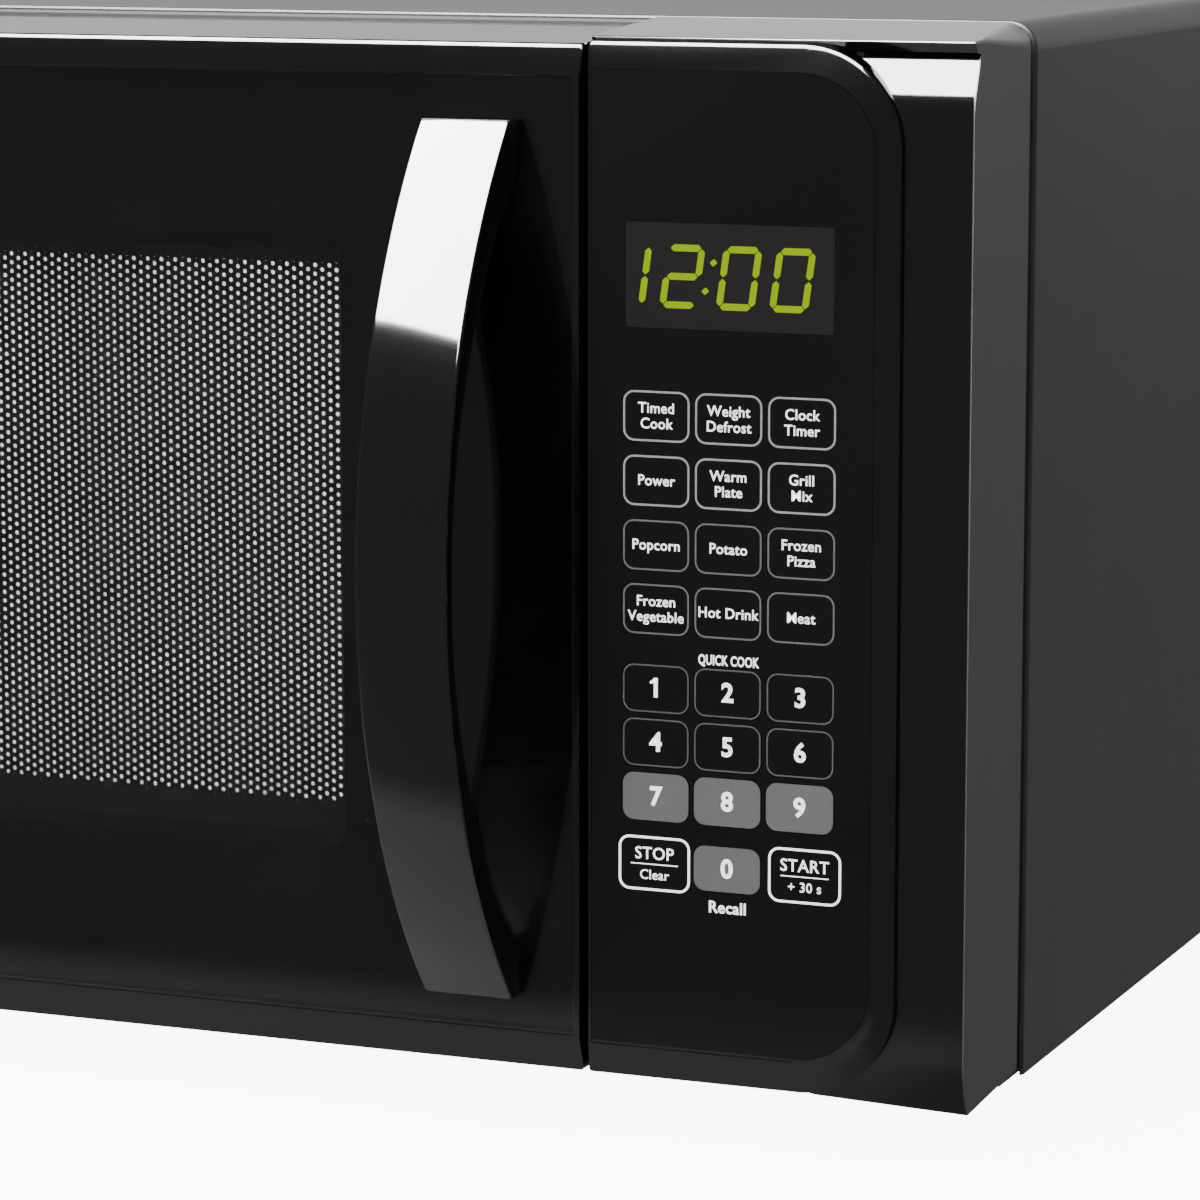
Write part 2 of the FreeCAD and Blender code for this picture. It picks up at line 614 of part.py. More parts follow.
def rounded_flank(body, x_range, rear, high):
    # Rounds the outer top edge: nearly sharp in front, the cabinet's corner radius at the rear.
    outer_x = x_range[1] if x_range[1] > HALF_X - 5 else x_range[0]
    for edge in body.Edges:
        box_of = edge.BoundBox
        at_flank = abs(box_of.XMin - outer_x) < 0.01 and abs(box_of.XMax - outer_x) < 0.01
        if at_flank and box_of.ZMin > high - 0.1 and box_of.YMax > rear - 0.1 and box_of.YLength > 10:
            starts_front = edge.valueAt(edge.FirstParameter).y < rear - 1
            radii = (FLANK_FRONT_R, FLANK_REAR_R) if starts_front else (FLANK_REAR_R, FLANK_FRONT_R)
            return body.makeFillet(radii[0], radii[1], [edge])
    return body


def raised_insert(outer_x, outer_z, inner_x, inner_z, radii, inner_radii):
    # Raised plateau with a chamfered border, standing on the strip body.
    shoulder = FRONT + CHAMFER_DROP
    foot_wire = outline(outer_x, outer_z, radii[0], radii[1], shoulder)
    top_wire = outline(inner_x, inner_z, inner_radii[0], inner_radii[1], FRONT)
    block = Part.Face(foot_wire).extrude(Vector(0, 14.0, 0))
    return block, Part.makeLoft([foot_wire, top_wire], True, True)


def key_table():
    # One row per key: name, centre x, centre z, width, height.
    keys = []
    for names, z in zip(FUNCTION_NAMES, FUNCTION_ROWS):
        for name, x in zip(names, KEY_COLUMNS):
            keys.append(("key_" + name, x, z, KEY_WIDTH, FUNCTION_HEIGHT))
    for row, z in enumerate(NUMBER_ROWS):
        for column, x in enumerate(KEY_COLUMNS):
            keys.append(("key_" + str(3 * row + column + 1), x, z, KEY_WIDTH, NUMBER_HEIGHT))
    keys.append(("key_stop", STOP_START_X[0], LAST_ROW) + STOP_START_SIZE)
    keys.append(("key_0", KEY_COLUMNS[1], LAST_ROW, KEY_WIDTH, ZERO_HEIGHT))
    keys.append(("key_start", STOP_START_X[1], LAST_ROW) + STOP_START_SIZE)
    return keys


def key_prism(key, grow, y_range):
    name, x, z, width, height = key
    return slab((x - width / 2 - grow, x + width / 2 + grow), (z - height / 2 - grow, z + height / 2 + grow),
                KEY_RADIUS + grow, y_range)


def key_plate(key):
    name, x, z, width, height = key
    plate = key_prism(key, 0, (FRONT, FRONT + PLATE))
    stem = rod((x, FRONT + PLATE - 0.5, z), (0, 1, 0), STEM_R, BOARD_Y - 3.0 - FRONT - PLATE + 0.5)
    return fuse([plate, stem])


def droop_tool():
    # Takes the lower edge back up under the insert, so that only the outer corner hangs lower.
    low = BEZEL_Z[0]
    corners = ((BEZEL_X[0] - 1, 0), (BEZEL_X[0] - 1, low), (DROOP_X[0], low), (DROOP_X[1], low - 1.6),
               (BEZEL_X[1] + 1, low - BEZEL_DROP), (BEZEL_X[1] + 1, 0))
    wire = Part.makePolygon([Vector(x, FRONT - 1, z) for x, z in corners + corners[:1]])
    return Part.Face(wire).extrude(Vector(0, BEZEL_REAR - FRONT + 2, 0))


def control_bezel():
    body = scooped_body(BEZEL_X, (BEZEL_Z[0] - BEZEL_DROP, BEZEL_Z[1]), BEZEL_REAR, BEZEL_RISE,
                        BEZEL_REAR_LIFT)
    body = body.cut(droop_tool())
    block, border = raised_insert((BEZEL_X[0], INSERT_X1), (BEZEL_Z[0], INSERT_TOP),
                                  (BEZEL_X[0] + END_LAND, OVERLAY_X[1]),
                                  (OVERLAY_Z[0] - GLASS_LAND, OVERLAY_Z[1]),
                                  (1.0, INSERT_RADIUS), (0.8, INNER_RADIUS))
    inside_x = (BEZEL_X[0] + WALL, BEZEL_X[1] - WALL)
    inside_z = (BEZEL_Z[0] + WALL, BEZEL_Z[1] - WALL)
    tools = [box((BEZEL_X[0] - 1, BEZEL_X[1] - LIP), (FACE_Y, BEZEL_REAR + 1),
                 (BEZEL_Z[0] + LIP, BEZEL_Z[1] - LIP)),
             box(inside_x, (FRONT + 14.0, FACE_Y + 1), inside_z),
             box(inside_x, (FRONT + 7.5, FRONT + 15.0), (38, 285)),
             Part.Face(outline((OVERLAY_X[0] + 0.4, OVERLAY_X[1]), OVERLAY_Z, 0.6, OVERLAY_RADIUS,
                               FRONT - 1)).extrude(Vector(0, PLATE + 1, 0))]
    tools.append(box((OVERLAY_X[0], OVERLAY_X[1] - INNER_RADIUS), (FRONT - 1, FRONT + 0.6),
                     (OVERLAY_Z[0] - 0.9, OVERLAY_Z[0] + 0.1)))
    tools.append(slab((DISPLAY_X[0] + 1.1, DISPLAY_X[1] - 1.0), (DISPLAY_Z[0] + 1.5, DISPLAY_Z[1] - 1.5), 1,
                      (FRONT, FRONT + 9)))
    for key in key_table():
        name, x, z, width, height = key
        tools.append(key_prism(key, GAP, (FRONT, FRONT + PLATE + KEY_WELL)))
        tools.append(rod((x, FRONT, z), (0, 1, 0), STEM_R + 0.1, 12))
    return cut(fuse([body, block, border]), tools)


def overlay_panel():
    x_range = (OVERLAY_X[0] + 0.55, OVERLAY_X[1] - GAP)
    z_range = (OVERLAY_Z[0] + GAP, OVERLAY_Z[1] - GAP)
    sheet = Part.Face(outline(x_range, z_range, 0.5, OVERLAY_RADIUS - GAP, FRONT)).extrude(Vector(0, PLATE, 0))
    tools = [key_prism(key, GAP, (FRONT - 1, FRONT + PLATE + 1)) for key in key_table()]
    tools.append(slab(DISPLAY_X, DISPLAY_Z, 1.0, (FRONT - 1, FRONT + PLATE + 1)))
    return cut(sheet, tools)


def display_window():
    return slab((DISPLAY_X[0] + 0.1, DISPLAY_X[1] - 0.1), (DISPLAY_Z[0] + 0.1, DISPLAY_Z[1] - 0.1), 0.9,
                (FRONT, FRONT + PLATE))


def control_board():
    board = box((152, 246), (BOARD_Y, BOARD_Y + 1.6), (60, 280))
    led = box((160.5, 216), (FRONT + PLATE + 0.3, BOARD_Y), (230, 253.4))
    relay = box((170, 190), (BOARD_Y + 1.6, BOARD_Y + 14), (230, 258))
    pack = box((200, 236), (BOARD_Y + 1.6, BOARD_Y + 13), (120, 150))
    switches = [rod((x, BOARD_Y - 2.1, z), (0, 1, 0), 2.4, 2.3) for name, x, z, width, height in key_table()]
    post_y = (BOARD_Y + 1.6, FACE_Y)
    posts = [box((x, x + 6), post_y, (z, z + 6)) for x in (154, 241) for z in (62, 272)]
    return fuse([board, led, relay, pack] + switches + posts)


# ---------------------------------------------------------------- door

def rear_corner_tool():
    # Rounds the rear corner beside the hinge so that it clears the face plate as it turns.
    radius = 5.0
    x0 = DOOR_X[0]
    block = box((x0 - 1, x0 + radius), (DOOR_REAR - radius, DOOR_REAR + 1), (0, HEIGHT))
    return block.cut(rod((x0 + radius, DOOR_REAR - radius, -1), (0, 0, 1), radius, HEIGHT + 2))


def door_frame():
    body = scooped_body(DOOR_X, DOOR_Z, DOOR_REAR, DOOR_RISE)
    inner_z = (GLASS_Z[0] - GLASS_LAND, GLASS_Z[1])
    block, border = raised_insert((DOOR_INSERT_X0, DOOR_X[1]), DOOR_Z,
                                  (GLASS_X[0], DOOR_X[1] - END_LAND), inner_z,
                                  (INSERT_RADIUS, 1.0), (INNER_RADIUS, 0.8))
    glass_seat = Part.Face(outline((GLASS_X[0], GLASS_X[1] - 0.4), GLASS_Z, INNER_RADIUS, 0.6,
                                   FRONT - 1)).extrude(Vector(0, 1 + GLASS_THICK + 0.1, 0))
    surround = (slab((WINDOW_X[0] - 3, WINDOW_X[1] + 3), (WINDOW_Z[0] - 3, WINDOW_Z[1] + 3), 9,
                     (FRONT + 5, SCREEN_Y)))
    hollow = [box(HOLLOW_X, (FRONT + 12.0, DOOR_REAR + 1), HOLLOW_Z),
              box((-228, 136), (FRONT + 6.1, FRONT + 13.0), (32, 290))]
    shell = cut(fuse([body, block, border]), hollow)
    window = slab(WINDOW_X, WINDOW_Z, 6, (FRONT - 1, DOOR_REAR + 1))
    pins = [rod((HINGE_X, HINGE_Y, DOOR_Z[1] - PIN_LENGTH - 0.5), (0, 0, 1), PIN_R + RUNNING_FIT, 40),
            rod((HINGE_X, HINGE_Y, 0), (0, 0, 1), PIN_R + RUNNING_FIT, DOOR_Z[0] + PIN_LENGTH - 0.5)]
    pegs = [rod((x, FRONT - 1, z), (0, 1, 0), HANDLE_PEG_R + 0.1, 12) for x, z in peg_places()]
    ledge = box((GLASS_X[0] + INNER_RADIUS, GLASS_X[1] - 0.4), (FRONT - 1, FRONT + 0.6),
                (GLASS_Z[0] - 0.9, GLASS_Z[0] + 0.1))
    return cut(fuse([shell, surround]), [glass_seat, window, rear_corner_tool(), ledge] + pins + pegs)


def peg_places():
    middle = (HANDLE_X[0] + HANDLE_X[1]) / 2
    return ((middle, HANDLE_Z[0] + PEG_INSET), (middle, HANDLE_Z[1] - PEG_INSET))


def door_glass():
    pane = Part.Face(outline((GLASS_X[0] + GAP, GLASS_X[1] - 0.4 - GAP), (GLASS_Z[0] + GAP, GLASS_Z[1] - GAP),
                             INNER_RADIUS - GAP, 0.5, FRONT)).extrude(Vector(0, GLASS_THICK, 0))
    holes = [rod((x, FRONT - 1, z), (0, 1, 0), HANDLE_PEG_R + 0.2, 6) for x, z in peg_places()]
    return cut(pane, holes)


def door_screen():
    rear = COVER_Y - 0.2
    pan = box(SCREEN_X, (SCREEN_Y, rear), SCREEN_Z)
    inside = box((SCREEN_X[0] + SHEET, SCREEN_X[1] - SHEET), (SCREEN_Y + SHEET, rear + 1),
                 (SCREEN_Z[0] + SHEET, SCREEN_Z[1] - SHEET))
    return pan.cut(inside)


def door_inner_cover():
    x_range = (HOLLOW_X[0] + GAP, HOLLOW_X[1] - GAP)
    z_range = (HOLLOW_Z[0] + GAP, HOLLOW_Z[1] - GAP)
    plate = box(x_range, (COVER_Y, DOOR_REAR), z_range)
    rim = slab((WINDOW_X[0] - 2, WINDOW_X[1] + 2), (WINDOW_Z[0] - 2, WINDOW_Z[1] + 2), 8,
               (SCREEN_Y + SHEET, DOOR_REAR))
    tools = [slab(WINDOW_X, WINDOW_Z, 6, (SCREEN_Y, DOOR_REAR + 1))]
    for z in HOOK_Z:
        tools.append(slab((124.8, 134.5), (z - 10, z + 17), 2, (COVER_Y - 1, DOOR_REAR + 1)))
    return cut(fuse([plate, rim]), tools)


def handle_section(front_depth, z_range):
    # Side view of one face of the bow: an arc from end to end, closed by a chord.
    middle = (z_range[0] + z_range[1]) / 2
    return (Vector(0, FRONT - front_depth[0], z_range[0]), Vector(0, FRONT - front_depth[1], middle),
            Vector(0, FRONT - front_depth[0], z_range[1]))


def door_handle():
    # Flat strip bowed outwards; both ends rest on the glass and are cut level.
    outer = handle_section((HANDLE_THICK, HANDLE_DEPTH), HANDLE_Z)
    inner = handle_section((0, HANDLE_DEPTH - HANDLE_THICK),
                           (HANDLE_Z[0] + HANDLE_FOOT, HANDLE_Z[1] - HANDLE_FOOT))
    low = Vector(0, FRONT, HANDLE_Z[0])
    high = Vector(0, FRONT, HANDLE_Z[1])
    wire = Part.Wire([Part.LineSegment(low, outer[0]).toShape(), Part.Arc(*outer).toShape(),
                      Part.LineSegment(outer[2], high).toShape(), Part.LineSegment(high, inner[2]).toShape(),
                      Part.Arc(inner[2], inner[1], inner[0]).toShape(),
                      Part.LineSegment(inner[0], low).toShape()])
    face = Part.Face(wire)
    face.translate(Vector(HANDLE_X[0], 0, 0))
    strip = face.extrude(Vector(HANDLE_X[1] - HANDLE_X[0], 0, 0))
    bow = [edge for edge in strip.Edges
           if edge.BoundBox.ZLength > HANDLE_Z[1] - HANDLE_Z[0] - 15 and edge.BoundBox.XLength < 0.1]
    strip = strip.makeFillet(0.9, bow)
    pegs = []
    for x, z in peg_places():
        pegs.append(rod((x, FRONT - 1.5, z), (0, 1, 0), HANDLE_PEG_R, 1.5 + 6.5))
    return fuse([strip] + pegs)


def latch_hooks():
    bar = box(LATCH_BAR_X, LATCH_BAR_Y, (56, 252))
    shapes = [bar]
    for z in HOOK_Z:
        shapes.append(box(HOOK_X, (LATCH_BAR_Y[0], HOOK_TIP_Y), (z - 5, z + 5)))
        shapes.append(box(HOOK_X, (HOOK_TIP_Y - 5, HOOK_TIP_Y), (z - 8.5, z + 5)))
    return fuse(shapes)


def hinge_brackets():
    upper_tab = box((-255, -240), (-163, -135), (FACE_TOP, HEIGHT))
    upper_low = DOOR_Z[1] - PIN_LENGTH
    upper_pin = rod((HINGE_X, HINGE_Y, upper_low), (0, 0, 1), PIN_R, FACE_TOP - upper_low)
    low = BASE_Z + SHEET
    lower_tab = box((-255, -240), (-163, CABINET_FRONT - 1), (low, low + 1.2))
    lower_pin = rod((HINGE_X, HINGE_Y, low), (0, 0, 1), PIN_R, DOOR_Z[0] + PIN_LENGTH - 1 - low)
    return Part.makeCompound([fuse([upper_tab, upper_pin]), fuse([lower_tab, lower_pin])])


# ---------------------------------------------------------------- write all nodes

def main():
    os.makedirs("parts", exist_ok=True)
    makers = (outer_cabinet, base_plate, rear_panel, cavity_liner, front_frame, feet, case_screws,
              waveguide_cover, magnetron, transformer, capacitor, fan_motor, turntable_motor, oven_lamp,
              grill_element, latch_bracket, door_switches, cord_gland, control_bezel, overlay_panel,
              display_window, control_board, hinge_brackets, fan_blade, drive_coupler, roller_ring,
              glass_tray, door_frame, door_glass, door_screen, door_inner_cover, door_handle, latch_hooks)
    for maker in makers:
        save(maker.__name__, maker())
    for index, angle in enumerate(wheel_angles()):
        save("roller_wheel_" + str(index + 1), roller_wheel(angle))
    for key in key_table():
        save(key[0], key_plate(key))


main()
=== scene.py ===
import json
import math

import bmesh
import bpy
from mathutils import Matrix, Vector


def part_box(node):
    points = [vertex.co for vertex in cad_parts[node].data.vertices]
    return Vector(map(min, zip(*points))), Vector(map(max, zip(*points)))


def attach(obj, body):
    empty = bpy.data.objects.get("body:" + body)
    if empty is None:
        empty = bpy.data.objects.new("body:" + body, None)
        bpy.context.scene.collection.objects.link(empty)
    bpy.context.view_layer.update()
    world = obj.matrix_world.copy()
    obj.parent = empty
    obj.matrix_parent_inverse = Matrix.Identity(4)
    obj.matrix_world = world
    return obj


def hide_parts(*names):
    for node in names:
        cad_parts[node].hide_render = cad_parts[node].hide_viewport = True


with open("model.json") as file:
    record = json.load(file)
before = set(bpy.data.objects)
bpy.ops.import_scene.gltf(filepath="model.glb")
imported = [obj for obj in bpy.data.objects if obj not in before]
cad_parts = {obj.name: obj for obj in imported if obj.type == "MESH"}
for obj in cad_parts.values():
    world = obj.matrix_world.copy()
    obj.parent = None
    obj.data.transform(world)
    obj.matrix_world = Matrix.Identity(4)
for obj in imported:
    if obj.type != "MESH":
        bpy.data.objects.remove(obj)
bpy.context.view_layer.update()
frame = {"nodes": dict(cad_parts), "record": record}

nodes = frame["nodes"]
mm = 0.001
print("frame loaded", len(nodes), "nodes")


# small helpers

def deselectAll():
    bpy.ops.object.select_all(action="DESELECT")


def makeActive(obj):
    deselectAll()
    obj.select_set(True)
    bpy.context.view_layer.objects.active = obj


def pickElements(obj, kind, test):
    # in edit mode: select the faces or edges that pass the test, and nothing else
    bpy.ops.mesh.select_mode(type=kind)
    mesh = bmesh.from_edit_mesh(obj.data)
    elements = mesh.faces if kind == "FACE" else mesh.edges
    for element in elements:
        element.select_set(False)
    chosen = [element for element in elements if test(element)]
    for element in chosen:
        element.select_set(True)
    if kind == "FACE":
        mesh.select_flush_mode()
    bmesh.update_edit_mesh(obj.data)
    return len(chosen)


def pickFaces(obj, test):
    return pickElements(obj, "FACE", test)


def pickEdges(obj, test):
    return pickElements(obj, "EDGE", test)


def applyPlace(obj):
    makeActive(obj)
    bpy.ops.object.transform_apply(location=True, rotation=True, scale=True)


def applyModifiers(obj):
    makeActive(obj)
    for modifier in list(obj.modifiers):
        bpy.ops.object.modifier_apply(modifier=modifier.name)


def outwardFaces(obj):
    makeActive(obj)
    bpy.ops.object.mode_set(mode="EDIT")
    bpy.ops.mesh.select_all(action="SELECT")
    bpy.ops.mesh.remove_doubles(threshold=1e-6)
    bpy.ops.mesh.normals_make_consistent(inside=False)
    bpy.ops.object.mode_set(mode="OBJECT")


def smoothByAngle(obj, degrees=30):
    makeActive(obj)
    bpy.ops.object.shade_smooth_by_angle(angle=math.radians(degrees))


def joinPieces(pieces, name):
    deselectAll()
    for piece in pieces:
        piece.select_set(True)
    bpy.context.view_layer.objects.active = pieces[0]
    bpy.ops.object.join()
    pieces[0].name = name
    pieces[0].data.name = name
    return pieces[0]


def finishPiece(obj, name, body, material, replaced=()):
    obj.name = name
    obj.data.name = name
    obj.data.materials.clear()
    obj.data.materials.append(material)
    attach(obj, body)
    if replaced:
        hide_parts(*replaced)


# shader groups

def newGroup(name, inputs, outputs):
    tree = bpy.data.node_groups.new(name, "ShaderNodeTree")
    for socketName, kind, value in inputs:
        socket = tree.interface.new_socket(name=socketName, in_out="INPUT", socket_type=kind)
        if value is not None:
            socket.default_value = value
    for socketName, kind in outputs:
        tree.interface.new_socket(name=socketName, in_out="OUTPUT", socket_type=kind)
    start = tree.nodes.new("NodeGroupInput")
    end = tree.nodes.new("NodeGroupOutput")
    return tree, start, end


def makeGrainGroup():
    # fine noise: a height for bump and a roughness that wanders about its base value
    tree, start, end = newGroup(
        "grain",
        [("Vector", "NodeSocketVector", None), ("Scale", "NodeSocketFloat", 800.0),
         ("Roughness", "NodeSocketFloat", 0.4), ("Spread", "NodeSocketFloat", 0.05)],
        [("Height", "NodeSocketFloat"), ("Roughness", "NodeSocketFloat")])
    fine = tree.nodes.new("ShaderNodeTexNoise")
    fine.inputs["Detail"].default_value = 3.0
    broad = tree.nodes.new("ShaderNodeTexNoise")
    broad.inputs["Scale"].default_value = 14.0
    broad.inputs["Detail"].default_value = 4.0
    centred = tree.nodes.new("ShaderNodeMath")
    centred.operation = "SUBTRACT"
    centred.inputs[1].default_value = 0.5
    spread = tree.nodes.new("ShaderNodeMath")
    spread.operation = "MULTIPLY_ADD"
    tree.links.new(start.outputs["Vector"], fine.inputs["Vector"])
    tree.links.new(start.outputs["Scale"], fine.inputs["Scale"])
    tree.links.new(start.outputs["Vector"], broad.inputs["Vector"])
    tree.links.new(broad.outputs["Fac"], centred.inputs[0])
    tree.links.new(centred.outputs[0], spread.inputs[0])
    tree.links.new(start.outputs["Spread"], spread.inputs[1])
    tree.links.new(start.outputs["Roughness"], spread.inputs[2])
    tree.links.new(fine.outputs["Fac"], end.inputs["Height"])
    tree.links.new(spread.outputs[0], end.inputs["Roughness"])
    return tree


def makeTintGroup():
    # two close colours mixed by soft blotches, with sparse fine specks of a third
    tree, start, end = newGroup(
        "tint",
        [("Vector", "NodeSocketVector", None), ("Colour", "NodeSocketColor", None),
         ("Other", "NodeSocketColor", None), ("Speck", "NodeSocketColor", None),
         ("Blotch Scale", "NodeSocketFloat", 9.0), ("Speck Amount", "NodeSocketFloat", 0.0)],
        [("Colour", "NodeSocketColor")])
    blotch = tree.nodes.new("ShaderNodeTexNoise")
    blotch.inputs["Detail"].default_value = 5.0
    ramp = tree.nodes.new("ShaderNodeValToRGB")
    ramp.color_ramp.elements[0].position = 0.35
    ramp.color_ramp.elements[1].position = 0.70
    mixed = tree.nodes.new("ShaderNodeMix")
    mixed.data_type = "RGBA"
    specks = tree.nodes.new("ShaderNodeTexVoronoi")
    specks.inputs["Scale"].default_value = 420.0
    near = tree.nodes.new("ShaderNodeMath")
    near.operation = "LESS_THAN"
    near.inputs[1].default_value = 0.16
    amount = tree.nodes.new("ShaderNodeMath")
    amount.operation = "MULTIPLY"
    dusted = tree.nodes.new("ShaderNodeMix")
    dusted.data_type = "RGBA"
    link = tree.links.new
    link(start.outputs["Vector"], blotch.inputs["Vector"])
    link(start.outputs["Blotch Scale"], blotch.inputs["Scale"])
    link(blotch.outputs["Fac"], ramp.inputs["Fac"])
    link(ramp.outputs["Color"], mixed.inputs["Factor"])
    link(start.outputs["Colour"], mixed.inputs["A"])
    link(start.outputs["Other"], mixed.inputs["B"])
    link(start.outputs["Vector"], specks.inputs["Vector"])
    link(specks.outputs["Distance"], near.inputs[0])
    link(near.outputs[0], amount.inputs[0])
    link(start.outputs["Speck Amount"], amount.inputs[1])
    link(amount.outputs[0], dusted.inputs["Factor"])
    link(mixed.outputs["Result"], dusted.inputs["A"])
    link(start.outputs["Speck"], dusted.inputs["B"])
    link(dusted.outputs["Result"], end.inputs["Colour"])
    return tree


def makeBrushedGroup():
    # streaks along one axis for brushed and rolled metal
    tree, start, end = newGroup(
        "brushed",
        [("Vector", "NodeSocketVector", None), ("Stretch", "NodeSocketVector", None),
         ("Roughness", "NodeSocketFloat", 0.35)],
        [("Height", "NodeSocketFloat"), ("Roughness", "NodeSocketFloat")])
    stretched = tree.nodes.new("ShaderNodeVectorMath")
    stretched.operation = "MULTIPLY"
    streaks = tree.nodes.new("ShaderNodeTexNoise")
    streaks.inputs["Scale"].default_value = 60.0
    streaks.inputs["Detail"].default_value = 6.0
    scaled = tree.nodes.new("ShaderNodeMath")
    scaled.operation = "MULTIPLY_ADD"
    scaled.inputs[1].default_value = 0.2
    link = tree.links.new
    link(start.outputs["Vector"], stretched.inputs[0])
    link(start.outputs["Stretch"], stretched.inputs[1])
    link(stretched.outputs["Vector"], streaks.inputs["Vector"])
    link(streaks.outputs["Fac"], scaled.inputs[0])
    link(start.outputs["Roughness"], scaled.inputs[2])
    link(streaks.outputs["Fac"], end.inputs["Height"])
    link(scaled.outputs[0], end.inputs["Roughness"])
    return tree


grainGroup = makeGrainGroup()
tintGroup = makeTintGroup()
brushedGroup = makeBrushedGroup()


# materials

def newMaterial(name):
    material = bpy.data.materials.new(name)
    material.use_nodes = True
    tree = material.node_tree
    shader = tree.nodes["Principled BSDF"]
    coords = tree.nodes.new("ShaderNodeTexCoord")
    return material, tree, shader, coords.outputs["Object"]


def addBump(tree, shader, height, strength, distance):
    bump = tree.nodes.new("ShaderNodeBump")
    bump.inputs["Strength"].default_value = strength
    bump.inputs["Distance"].default_value = distance
    tree.links.new(height, bump.inputs["Height"])
    tree.links.new(bump.outputs["Normal"], shader.inputs["Normal"])


def addTint(tree, shader, coords, look):
    tint = tree.nodes.new("ShaderNodeGroup")
    tint.node_tree = tintGroup
    tint.inputs["Colour"].default_value = look["colour"] + (1,)
    tint.inputs["Other"].default_value = look.get("other", look["colour"]) + (1,)
    tint.inputs["Speck"].default_value = look.get("speck", look["colour"]) + (1,)
    tint.inputs["Blotch Scale"].default_value = look.get("blotch", 9.0)
    tint.inputs["Speck Amount"].default_value = look.get("specks", 0.0)
    tree.links.new(coords, tint.inputs["Vector"])
    tree.links.new(tint.outputs["Colour"], shader.inputs["Base Color"])


def addGrain(tree, coords, scale, roughness, spread):
    grain = tree.nodes.new("ShaderNodeGroup")
    grain.node_tree = grainGroup
    grain.inputs["Scale"].default_value = scale
    grain.inputs["Roughness"].default_value = roughness
    grain.inputs["Spread"].default_value = spread
    tree.links.new(coords, grain.inputs["Vector"])
    return grain


def setSockets(shader, look):
    for socketName, value in look.get("sockets", {}).items():
        shader.inputs[socketName].default_value = value


def grainMaterial(name, look):
    material, tree, shader, coords = newMaterial(name)
    addTint(tree, shader, coords, look)
    grain = addGrain(tree, coords, look["grainScale"], look["roughness"], look.get("spread", 0.05))
    tree.links.new(grain.outputs["Roughness"], shader.inputs["Roughness"])
    if look.get("bump", 0):
        addBump(tree, shader, grain.outputs["Height"], look["bump"], look.get("bumpDepth", 0.00005))
    setSockets(shader, look)
    return material


def mouldedMaterial(name, look):
    # polished face with satin flanks: the mould is grained where it faces sideways
    material, tree, shader, coords = newMaterial(name)
    link = tree.links.new
    split = tree.nodes.new("ShaderNodeSeparateXYZ")
    side = tree.nodes.new("ShaderNodeMath")
    side.operation = "ABSOLUTE"
    flank = tree.nodes.new("ShaderNodeMapRange")
    flank.interpolation_type = "SMOOTHSTEP"
    flank.inputs["From Min"].default_value = look["flankFrom"]
    flank.inputs["From Max"].default_value = look["flankTo"]
    grains = [addGrain(tree, coords, look["grainScale"], roughness, spread)
              for roughness, spread in ((look["roughness"], look["spread"]), (look["satinRoughness"], 0.05))]
    rough = tree.nodes.new("ShaderNodeMix")
    colour = tree.nodes.new("ShaderNodeMix")
    colour.data_type = "RGBA"
    tints = []
    for one, other in ((look["colour"], look["other"]), (look["satin"], look["satinOther"])):
        tint = tree.nodes.new("ShaderNodeGroup")
        tint.node_tree = tintGroup
        tint.inputs["Colour"].default_value = one + (1,)
        tint.inputs["Other"].default_value = other + (1,)
        link(coords, tint.inputs["Vector"])
        tints.append(tint)
    link(coords, split.inputs[0])
    link(split.outputs["X"], side.inputs[0])
    link(side.outputs[0], flank.inputs["Value"])
    link(flank.outputs["Result"], rough.inputs["Factor"])
    link(grains[0].outputs["Roughness"], rough.inputs["A"])
    link(grains[1].outputs["Roughness"], rough.inputs["B"])
    link(rough.outputs["Result"], shader.inputs["Roughness"])
    link(flank.outputs["Result"], colour.inputs["Factor"])
    link(tints[0].outputs["Colour"], colour.inputs["A"])
    link(tints[1].outputs["Colour"], colour.inputs["B"])
    link(colour.outputs["Result"], shader.inputs["Base Color"])
    addBump(tree, shader, grains[0].outputs["Height"], look["bump"], 0.00003)
    setSockets(shader, look)
    return material


def brushedMaterial(name, look):
    material, tree, shader, coords = newMaterial(name)
    addTint(tree, shader, coords, look)
    brushed = tree.nodes.new("ShaderNodeGroup")
    brushed.node_tree = brushedGroup
    brushed.inputs["Stretch"].default_value = look["stretch"]
    brushed.inputs["Roughness"].default_value = look["roughness"]
    tree.links.new(coords, brushed.inputs["Vector"])
    tree.links.new(brushed.outputs["Roughness"], shader.inputs["Roughness"])
    addBump(tree, shader, brushed.outputs["Height"], look.get("bump", 0.15), 0.00003)
    setSockets(shader, look)
    return material


